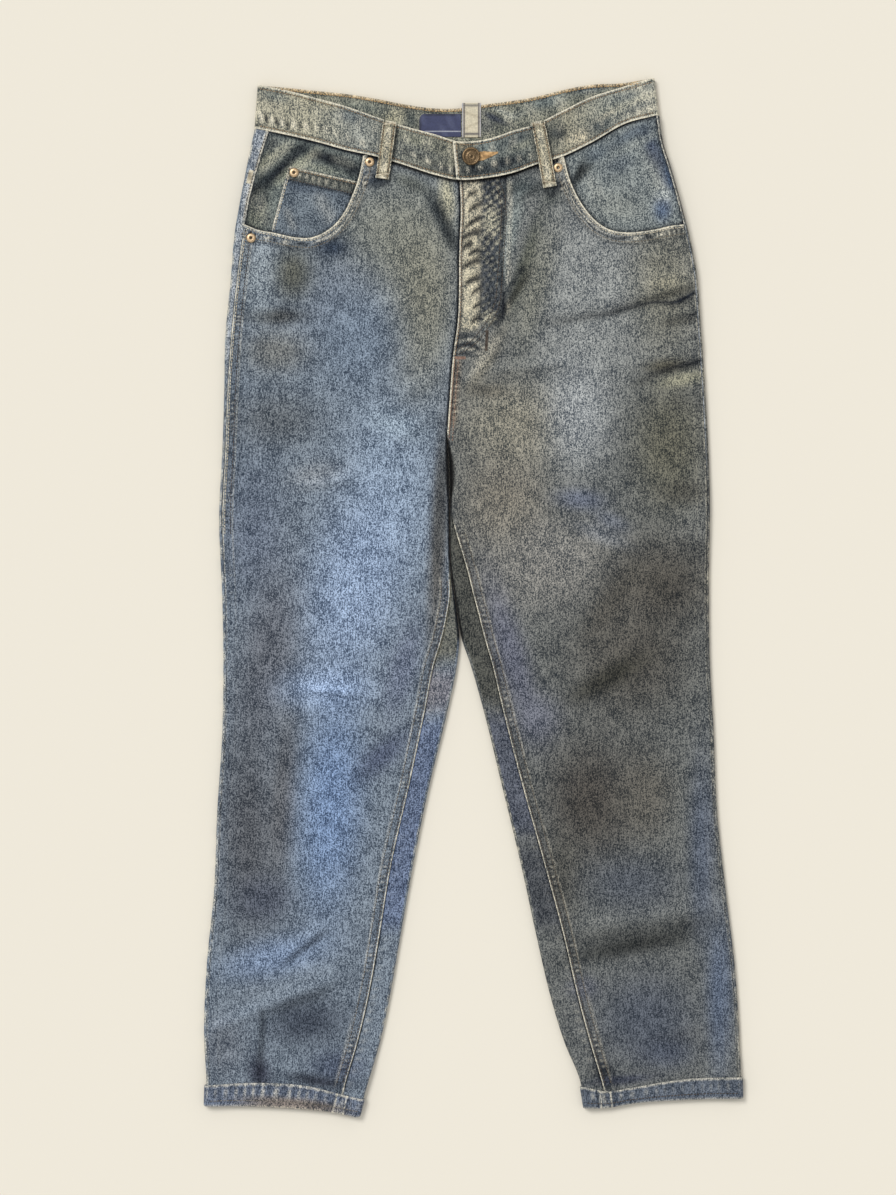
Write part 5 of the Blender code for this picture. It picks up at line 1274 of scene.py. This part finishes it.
# Belt loops.
# Narrow strips of denim folded in three, tacked at the waistband's upper edge and below its seam. The
# two front ones stand proud of the band.
LOOP, LOOP_WIDTH = 1.8, 13.0
FRONT_LOOPS = {"left": ((-80.0, 455.5), (-87.5, 400.5)), "right": ((61.5, 455.0), (73.0, 392.5))}
BACK_LOOPS = {"left": -152.0, "middle": -22.0, "right": 118.0}


def loop_strip(name, line, skin, thickness, node, tone):
    """A strip along a line with a crowned middle and two rubbed edges."""
    right_half = np.array([0.2, 0.4, 0.6, 0.72, 0.8, 0.88, 0.97, 1])
    side_share = np.concatenate([-right_half[::-1], [0], right_half])
    xy = line[:, None] + right_of(line)[:, None] * (side_share * LOOP_WIDTH / 2)[:, None]
    far = np.abs(side_share)
    crown = 0.3 * (1 - side_share**2) - 0.25 * bell(far - 0.76, 0.1)
    z = skin[:, None] + crown
    place = np.linspace(0, 1, len(line))[:, None]
    wear_and_shade = 0.7 * bell(far - 0.97, 0.1) + 0.45 * bell(side_share, 0.45) - 0.8 * bell(far - 0.76, 0.12)
    wear_and_shade = wear_and_shade * (0.75 + 0.25 * np.sin(place * 9)) + 0.4 * bell(place, 0.03) - 0.5 * bell(place - 0.09, 0.03)
    wear_and_shade = wear_and_shade + 0.5 * bell(place - 1, 0.03) - 0.6 * bell(place - 0.92, 0.03)
    wash = worn_and_shaded(np.broadcast_to(linear(tone), (*z.shape, 3)), wear_and_shade)
    grid = np.dstack([xy, z])
    thing = cloth(name, grid, wash, thickness, "denim", node, up=(3, 4))


for leg in LEGS.values():
    place = np.linspace(0, 1, 44)
    line = straight(*FRONT_LOOPS[leg.name], place)
    on_band = BAND_SKIN + 0.35 * np.sin(np.pi * np.clip(place / 0.68, 0, 1))
    if leg.name == "right":
        on_band = on_band + LAP_RISE * smooth((LAP_LOW + 3 - line[:, 0]) / (LAP_LOW - LAP_FLAT))
    panel = np.maximum(leg.top(line[:, 0] - 6.5, line[:, 1]), leg.top(line[:, 0] + 6.5, line[:, 1]))
    on = smooth((place - 0.62) / 0.1)
    under = on_band * (1 - on) + panel * on
    skin = under + 0.8 + LOOP + 1.3 * np.sin(np.pi * np.clip((place - 0.05) / 0.9, 0, 1))
    node = f"belt_loop_front_{leg.name}"
    loop_strip(f"loop_front_{leg.name}", line, skin, LOOP, node, (150, 145, 126))
for name, x in BACK_LOOPS.items():
    line = np.stack([np.full(30, x), np.linspace(back_top(x) - 1, back_seam(x) - 13, 30)], 1)
    node = f"belt_loop_back_{name}"
    loop_strip(f"loop_back_{name}", line, np.full(30, CLOTH), CLOTH, node, (128, 130, 122))

# Back pockets.
# Two patches with a shallow point, folded under all round and stitched twice. They lie beneath, flat
# on the table.
for leg in LEGS.values():
    px, top_y, width, side, point = leg.pocket
    s, t = np.meshgrid(np.linspace(-1, 1, 41), np.linspace(0, 1, 41))
    depth = side + (point - side) * (1 - np.abs(s))
    x = px + s * (width / 2 - 8 * (1 - t))
    y = top_y - depth * (1 - t)
    wear_and_shade = 0.4 * np.exp(-(((1 - np.abs(s)) / 0.02) ** 2)) + 0.3 * np.exp(-(((1 - t) / 0.02) ** 2))
    wash = worn_and_shaded(wash_of(leg, x, y), wear_and_shade + 0.1 * np.sin(x / 13 + y / 21))
    grid = np.dstack([x, y, np.full(x.shape, CLOTH)])
    thing = cloth(f"patch_{leg.name}", grid, wash, CLOTH, "denim", f"back_pocket_{leg.name}", up=(5, 5))

# Labels.
# A navy woven label and a folded satin size label, both bare, sewn inside the back of the waistband.


def woven(name, weave, tone=None):
    """Ribbed tape or satin. Its colour is the attribute 'wash', or tone, lighter on the ribs."""
    made = Finish(name)
    place = made.node("ShaderNodeTexCoord", "Object")
    ribs = made.node("ShaderNodeTexWave", "Fac", Vector=place, Scale=weave, Distortion=0.6, bands_direction="Y")
    speck = made.node("ShaderNodeTexNoise", "Fac", Vector=place, Scale=700.0)
    both = made.math("MULTIPLY", ribs, speck)
    spread = {"From Max": 0.6, "To Min": 0.55, "To Max": 1.6}
    light = made.node("ShaderNodeMapRange", "Result", Value=both, **spread)
    wash = linear(tone) if tone else made.node("ShaderNodeAttribute", "Color", attribute_name="wash")
    dyed = made.node("ShaderNodeVectorMath", "Vector", operation="SCALE", Vector=wash, Scale=light)
    made.bump(both, 0.4, 0.0002)
    made.shade({"Base Color": dyed, "Roughness": 0.6, "Sheen Weight": 0.15})
    return made.material


def ribbon(name, middle, top_y, bottom_y, width, skin, thickness, slot, weave, node, paint, round_end=0.0):
    """A flat ribbon with slightly curled edges, coloured by paint(s, t) across and up it. Its left end
    can be rounded."""
    s, t = np.meshgrid(np.linspace(-1, 1, 61), np.linspace(0, 1, 45))
    inset = round_end * (1 - np.sqrt(np.clip(1 - (2 * np.abs(t - 0.5)) ** 4, 0, 1)))
    x = middle + s * width / 2 + inset * (1 - s) / 2
    y = bottom_y + (top_y - bottom_y) * t
    z = skin + thickness + 0.12 * np.abs(s) ** 6 + 0.15 * np.sin(t * 5 + s * 2)
    DENIM[slot] = woven(slot, weave)
    grid = np.dstack([x, y, z])
    thing = cloth(name, grid, paint(s, t), thickness, slot, node, up=(5, 5))


def navy_weave(s, t):
    """Navy, with painted shadow along its top where it goes under the band, darker along its left end, mottled where
    it is creased, with one thin white line.
    """
    wash = np.broadcast_to(linear((52, 58, 92)), (*s.shape, 3))
    wash = toned(wash, (26, 28, 50), 0.8 * np.maximum(smooth((t - 0.86) / 0.1), smooth((-0.86 - s) / 0.1)))
    wash = toned(wash, (84, 90, 120), 0.5 * np.clip(np.sin(7 * s + 2 * t) * np.sin(5 * t + 3 * s), 0, 1))
    return toned(wash, (212, 214, 222), 0.8 * bell(t - 0.24, 0.018) * smooth((s + 0.8) / 0.1))


def folded_satin(s, t):
    """Cream satin with a navy woven border, and a crease where it is folded over."""
    far = np.abs(s)
    wash = np.broadcast_to(linear((214, 204, 178)), (*s.shape, 3))
    wash = toned(wash, (176, 164, 138), 0.6 * bell(t - 0.66 + 0.1 * s, 0.05) + 0.5 * bell(t - 0.34 - 0.12 * s, 0.04))
    border = np.maximum(bell(far - 0.78, 0.09), bell(t - 0.1, 0.035) * (far < 0.86))
    wash = toned(wash, (34, 36, 60), 0.9 * np.maximum(border, 0.75 * bell(t - 0.93, 0.04)))
    return toned(wash, (176, 176, 184), 0.8 * smooth((far - 0.87) / 0.04))


INSIDE = BAND_BACK + BAND + SEAM_GAP
ribbon("neck_tape", -32.0, 463.0, 441.0, 40.0, INSIDE, 0.5, "cotton_tape", 420.0, "label_neck", navy_weave, 5.0)
ribbon("size_tab", -2.0, 473.5, 440.5, 18.0, INSIDE, 0.6, "satin_label", 500.0, "label_size", folded_satin)

# Fly shield and zip.
# A doubled strip of denim and the zip's cotton tape behind the closed fly. They stay as the model has
# them, in the same cloths as the rest.
for name, finish in (
    ("fly_shield", denim("denim", (96, 104, 112))),
    ("fly_zip", woven("cotton_tape_plain", 420.0, (120, 112, 98))),
):
    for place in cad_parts[name].material_slots:
        place.material = finish

# Button and rivets.
# A cast shank button in antique brass with a raised rim and ring, and four domed copper-brass rivets
# with a dark burr in the middle.


def metal(name, tone, dark):
    """Worn metal: tone on the rubbed places, dark in the hollows, from noise in object coordinates."""
    made = Finish(name)
    place = made.node("ShaderNodeTexCoord", "Object")
    noise = made.node("ShaderNodeTexNoise", "Fac", Vector=place, Scale=900.0, Detail=4.0)
    patina = made.ramp(noise, (0.35, (*linear(dark), 1)), (0.62, (*linear(tone), 1)))
    rubbed = made.node("ShaderNodeAttribute", "Color", attribute_name="wash")
    rough = made.node("ShaderNodeMapRange", "Result", Value=noise, **{"To Min": 0.55, "To Max": 0.32})
    made.bump(noise, 0.3, 0.0001)
    made.shade({"Base Color": made.mix("MULTIPLY", 1.0, patina, rubbed), "Roughness": rough, "Metallic": 0.85})
    return made.material


def turned(name, profile, place, finish, node, tint):
    """A turned piece: its profile of radius and height carried round the axis in even steps. The tint
    says how light its metal is at each radius."""
    radius, height = np.array(profile, float).T
    angle = np.linspace(0, 2 * np.pi, TURNS, endpoint=False)
    away = np.outer(radius[1:-1], np.cos(angle)), np.outer(radius[1:-1], np.sin(angle))
    ring = np.stack([*away, np.outer(height[1:-1], np.ones(TURNS))], -1).reshape(-1, 3)
    ends = np.array([[0, 0, height[0]], [0, 0, height[-1]]])
    points = np.concatenate([ring, ends]) + place
    index = np.arange(len(ring)).reshape(-1, TURNS)
    after = np.roll(index, -1, 1)
    faces = np.stack([index[1:], after[1:], after[:-1], index[:-1]], -1).reshape(-1, 4).tolist()
    faces += [[len(ring), int(a), int(b)] for a, b in zip(index[0], after[0])]
    faces += [[len(ring) + 1, int(b), int(a)] for a, b in zip(index[-1], after[-1])]
    shade = np.interp(np.hypot(*(points[:, :2] - place[:2]).T), *np.array(tint, float).T)
    thing = piece(name, points, faces, shade[:, None], finish, node)
    thing.data.set_sharp_from_angle(angle=math.radians(50))


TURNS = 48
ANTIQUE = metal("antique_brass", (150, 126, 94), (84, 68, 50))
COPPER = metal("copper_brass", (232, 208, 172), (186, 150, 108))
FOOT = BAND_SKIN + 0.35 + SEAM_GAP
HEAD = LAP_RISE
BUTTON = (  # radius, height
    (0, 2.4), (0.9, 2.45), (1.6, 2.0), (2.4, 1.85), (3.0, 2.2), (3.6, 2.25), (4.2, 1.9), (5.4, 1.8), (6.3, 1.95),
    (6.8, 2.5), (7.3, 2.75), (7.9, 2.7), (8.4, 2.4), (8.7, 1.8), (8.75, 1.2), (8.5, 0.5), (7.5, 0.0), (1.0, 0.0),
    (1.0, -HEAD), (0, -HEAD),
)
BUTTON_TINT = (
    (0, 0.5), (1.0, 0.3), (1.8, 0.9), (2.4, 1.1), (3.0, 0.45), (3.8, 1.1), (4.6, 0.6), (6.0, 0.75), (6.6, 0.5),
    (7.3, 1.15), (8.2, 0.9), (8.7, 0.4),
)
turned("shank_button", BUTTON, (-2.4, 421.4, FOOT + HEAD), ANTIQUE, "button", BUTTON_TINT)
RIVETS = {
    "rivet_mouth_left": (-99.5, 416.5), "rivet_outseam_left": (-213.0, 343.5),
    "rivet_mouth_right": (81.0, 411.0), "rivet_coin": (-172.0, 406.5),
}
RIVET_RADIUS = 4.6
RIVET = (  # radius, height
    (0, 0.35), (0.7, 0.35), (1.1, 0.6), (1.5, 1.25), (2.0, 1.45), (2.8, 1.35), (3.6, 1.05), (4.2, 0.7),
    (4.5, 0.35), (4.6, 0.0), (0, 0.0),
)
RIVET_TINT = ((0, 0.12), (1.0, 0.14), (1.5, 0.55), (2.0, 1.1), (3.2, 1.15), (4.0, 0.9), (4.6, 0.5))
for name, (x, y) in RIVETS.items():
    leg = LEGS["left" if x < 0 else "right"]
    around = np.linspace(0, 6.3, 13)
    ring_x, ring_y = x + RIVET_RADIUS * np.cos(around), y + RIVET_RADIUS * np.sin(around)
    skin = leg.top(ring_x, ring_y)
    if name == "rivet_coin":
        skin = skin - facing_drop(leg, ring_x, ring_y) + CLOTH + COIN_RISE + COIN_FOLD
    turned(name + "_cap", RIVET, (x, y, float(skin.max()) + 0.4), COPPER, name, RIVET_TINT)

# Topstitching.
# Heavy cotton thread in tan, faded to cream in places, sewn as lockstitch 3 mm long along the felled
# seams, mouths, bands and edges, with tight zigzag bars where the pieces are under strain.
made = Finish("thread")
place = made.node("ShaderNodeTexCoord", "Object")
fuzz = made.node("ShaderNodeTexNoise", "Fac", Vector=place, Scale=260.0, Detail=3.0)
fade = made.ramp(fuzz, (0.35, (0.55, 0.5, 0.45, 1)), (0.65, (1.5, 1.5, 1.5, 1)))
dye = made.node("ShaderNodeAttribute", "Color", attribute_name="wash")
rough = made.node("ShaderNodeMapRange", "Result", Value=fuzz, **{"To Min": 0.7, "To Max": 0.9})
made.bump(made.node("ShaderNodeTexWave", "Fac", Vector=place, Scale=1400.0), 0.3, 0.0001)
made.shade({"Base Color": made.mix("MULTIPLY", 1.0, dye, fade), "Roughness": rough})
THREAD = made.material

TAN, CREAM, DARK = (146, 124, 98), (204, 196, 174), (78, 68, 60)
GOLD, BROWN, GREY = (186, 154, 108), (150, 122, 108), (96, 88, 78)
bpy.context.view_layer.update()
depsgraph = bpy.context.evaluated_depsgraph_get()
SURFACES = {}


def surface(name):
    """The finished surface of a piece, to lay thread on."""
    if name not in SURFACES:
        SURFACES[name] = BVHTree.FromObject(bpy.data.objects[name], depsgraph)
    return SURFACES[name]


def rest_on(points, pieces, below):
    """Height of the pieces' surface in millimetres over or under each point; nan beside them."""
    start, down = (-20.0, 1.0) if below else (40.0, -1.0)
    heights = []
    for x, y in points:
        hits = [surface(n).ray_cast((x * MM, y * MM, start * MM), (0, 0, down))[0] for n in pieces]
        found = [hit.z / MM for hit in hits if hit is not None]
        heights.append((min(found) if below else max(found)) if found else math.nan)
    return np.array(heights)


def offset_line(line, aside):
    """A line moved sideways, to the left of its direction."""
    line = np.asarray(line, float)
    return line - right_of(line) * aside


def stitch_run(line, pitch=3.1, length=2.3):
    """Ends of the stitches along a line, evenly spaced."""
    line = np.asarray(line, float)
    middle = np.arange(pitch / 2, run_length(line)[-1], pitch)
    return np.stack([placed(line, middle + s * length / 2) for s in (-1, 1)], 1)


def run_at(x, y):
    """Stitches along a line given by its x and y."""
    return stitch_run(np.stack(np.broadcast_arrays(x, y), 1))


def bartack(start, end, width, count):
    """Ends of the zigzag of a bar from start to end."""
    start, end = np.array(start, float), np.array(end, float)
    side = np.array([-(end - start)[1], (end - start)[0]]) / np.linalg.norm(end - start) * width / 2
    middle = start + (end - start) * np.linspace(0, 1, count)[:, None]
    return np.stack([middle - side, middle + side], 1)


def sew(name, runs, pieces, below=False):
    """Thread laid on the pieces: each stitch is a short rounded bar with five sides."""
    ends = np.concatenate([run for run, _ in runs])
    tones = np.concatenate([np.tile(linear(tone), (len(run), 1)) for run, tone in runs])
    z = rest_on(ends.reshape(-1, 2), pieces, below).reshape(-1, 2)
    kept = np.isfinite(z).all(1) & (np.abs(z[:, 0] - z[:, 1]) < 1.5)
    ends, z, tones = ends[kept], z[kept] + (-0.02 if below else 0.08), tones[kept]
    start, end = (np.concatenate([ends[:, k], z[:, k, None]], 1) for k in (0, 1))
    run = end - start
    side = np.stack([-run[:, 1], run[:, 0], np.zeros(len(run))], 1)
    side /= np.linalg.norm(side, axis=1)[:, None]
    along, wide = np.array([0.0, 0.18, 0.82, 1.0]), np.array([0.3, 1.0, 1.0, 0.3])
    angle = np.linspace(0, 2 * np.pi, 5, endpoint=False)
    centre = start[:, None] + run[:, None] * along[:, None]
    ring = side[:, None, None] * np.cos(angle)[:, None] * 0.42 + np.array([0, 0, 1]) * np.sin(angle)[:, None] * 0.27
    points = centre[:, :, None] + ring * wide[:, None, None]
    first = np.arange(len(ends))[:, None] * 20
    base = first[..., None] + np.arange(3)[:, None] * 5 + np.arange(5)
    after = base - np.arange(5) + (np.arange(5) + 1) % 5
    quads = np.stack([base, after, after + 5, base + 5], -1).reshape(-1, 4)
    caps = np.concatenate([first + [4, 3, 2, 1, 0], first + [15, 16, 17, 18, 19]])
    points, faces = points.reshape(-1, 3), quads.tolist() + caps.tolist()
    piece(name, points, faces, np.repeat(tones, 20, 0), THREAD)


for leg in LEGS.values():
    left = leg.name == "left"
    front, back, yoke_piece = (f"denim_{kind}_{leg.name}" for kind in ("front", "back", "yoke"))
    runs = []
    y = np.linspace(-466, 16 if left else 62, 240)
    for aside, tone in ((2.6, DARK), (8.4, GREY)):
        runs.append((run_at(leg.inseam(y) + leg.out * aside, y), tone))
    if left:
        y = np.linspace(60, 352, 160)
        for aside, tone in ((2.4, CREAM), (7.6, DARK)):
            runs.append((run_at(leg.outseam(y) - leg.out * aside, y), tone))
        runs.append((bartack((-215.5, 396), (-212.5, 408), 5.0, 16), CREAM))
    for aside, tone in ((2.6, CREAM), (9.0, (122, 114, 100))):
        line = offset_line(MOUTH_LINE[leg.name], -aside if left else aside)
        runs.append((stitch_run(line), tone))
    y = np.linspace(362, 444, 60)
    runs.append((run_at(leg.outseam(y) + leg.out * 2.0, y), DARK))
    sew(f"stitches_{leg.name}", runs, (front, back, yoke_piece, f"facing_{leg.name}"))

J_LINE = (  # the fly's curved seam, from the waist down
    (25, 397), (29, 386), (31, 371), (30, 345), (27, 302), (24.5, 280), (19, 266), (11, 254), (2, 243),
    (-8, 236), (-15, 232),
)
j_line = resampled(J_LINE, 90)
y = np.linspace(CROTCH_Y + 6, 396, 90)
runs = [(run_at(fly_edge(y) + 2.0, y), TAN), (stitch_run(j_line), DARK), (stitch_run(offset_line(j_line, -4.5)), DARK)]
y = np.linspace(CROTCH_Y - 2, 228, 40)
runs += [(run_at(fly_edge(y) + aside, y), BROWN) for aside in (2.2, 5.6)]
runs += [(bartack((13, 255), (12, 236), 3.2, 22), DARK), (bartack((-17, 229), (-8, 229), 3.0, 14), BROWN)]
sew("stitches_fly", runs, ("denim_front_right", "denim_front_left"))

top_line = straight(*COIN_TOP, np.linspace(0, 1, 40))
side_line = straight(COIN_BOTTOM_LEFT, COIN_TOP[0], np.linspace(0, 1, 40))
coin_lines = (top_line, -2.6, TAN), (top_line, -12.2, DARK), (side_line, -2.4, CREAM)
runs = [(stitch_run(offset_line(line, aside)), tone) for line, aside, tone in coin_lines]
sew("stitches_coin", runs, ("coin_patch",))

x = np.linspace(-205, 172, 300)
lapped = x >= LAP_END + 3
runs = []
for x_run in (x[lapped], x[x < LAP_END - 1]):
    low, high = front_seam(x_run) + SEAM_GAP / 2, front_top(x_run)
    runs += [(run_at(x_run, high - 3.0), TAN), (run_at(x_run, low + 3.2), TAN)]
end_y = np.linspace(front_seam(LAP_END) + 3, front_top(LAP_END) - 3, 30)
runs.append((run_at(LAP_END + 2.8 - 3.5 * (end_y - 399) / 40, end_y), TAN))
x_back = np.linspace(-185, 160, 260)
runs.append((run_at(x_back, back_top(x_back) - 2.6), GOLD))
sew("stitches_band", runs, ("band",))

slot_middle = sum(SLOT_SHARE) / 2
slot_x = np.linspace(SLOT_X[0] + 8, SLOT_X[1] + 2.5, 40)
slot_y = front_seam(slot_x) + (front_top(slot_x) - front_seam(slot_x)) * slot_middle + SEAM_GAP / 2
taper = 0.5 + 4.0 * np.clip((SLOT_X[1] + 4 - slot_x) / 15, 0, 1)
radial = [np.stack([slot_x + s * 0.4, slot_y + s * taper], 1) for s in (-1, 1)]
sew("stitches_buttonhole", [(np.stack(radial, 1), (196, 160, 112))], ("band",))

runs = []
for side, (top, bottom) in FRONT_LOOPS.items():
    middle = straight(top, bottom, np.linspace(0.03, 0.97, 40))
    for aside in (-4.8, 4.8):
        runs.append((stitch_run(offset_line(middle, aside)), TAN))
    across = np.array([1.0, 0.1 if side == "left" else -0.15])
    for at in straight(top, bottom, np.array([0.05, 0.93])):
        runs.append((bartack(at - across * 5.5, at + across * 5.5, 1.6, 20), CREAM))
sew("stitches_loops", runs, ("loop_front_left", "loop_front_right"))

runs = []
for leg in LEGS.values():
    x = np.linspace(*sorted((leg.inner(CUFF_Y) + leg.out * 4, leg.edge(CUFF_Y) - leg.out * 4)), 90)
    line = leg.hem(x) + 0.24 * (leg.cuff_top(x) - leg.hem(x))
    runs.append((run_at(x, line), DARK if leg.name == "right" else (120, 116, 108)))
sew("stitches_turn_ups", runs, ("turn_up_left", "turn_up_right"))

runs = []
for leg in LEGS.values():
    px, top_y, width, side, point = leg.pocket
    for inset in (2.2, 8.5):
        half = width / 2 - inset
        shape = [
            (px - half, top_y - 1), (px - half + 8, top_y - side + inset), (px, top_y - point + inset * 1.1),
            (px + half - 8, top_y - side + inset), (px + half, top_y - 1),
        ]
        for a, b in zip(shape[:-1], shape[1:]):
            runs.append((stitch_run(straight(a, b, np.linspace(0, 1, 20))), TAN))
    for drop in (2.5, 14.0):
        runs.append((run_at(px + np.linspace(-1, 1, 30) * (width / 2 - 3), top_y - drop), TAN))
sew("stitches_patches", runs, ("patch_left", "patch_right"), below=True)

runs = []
for leg in LEGS.values():
    x = np.linspace(*sorted((SEAT_X + leg.out * 3, leg.edge(400.0) - leg.out * 4)), 60)
    for above in (2.4, 8.0):
        runs.append((run_at(x, yoke_seam(x) + above), TAN))
y = np.linspace(CROTCH_Y + 4, 352, 60)
for aside in (2.4, 8.0):
    runs.append((run_at(SEAT_X - aside, y), TAN))
x = np.linspace(-200, 168, 200)
for above in (3.0, 37.5):
    runs.append((run_at(x, back_seam(x) + above), TAN))
pieces = ("denim_back_left", "denim_back_right", "denim_yoke_left", "denim_yoke_right", "band")
sew("stitches_back", runs, pieces, below=True)
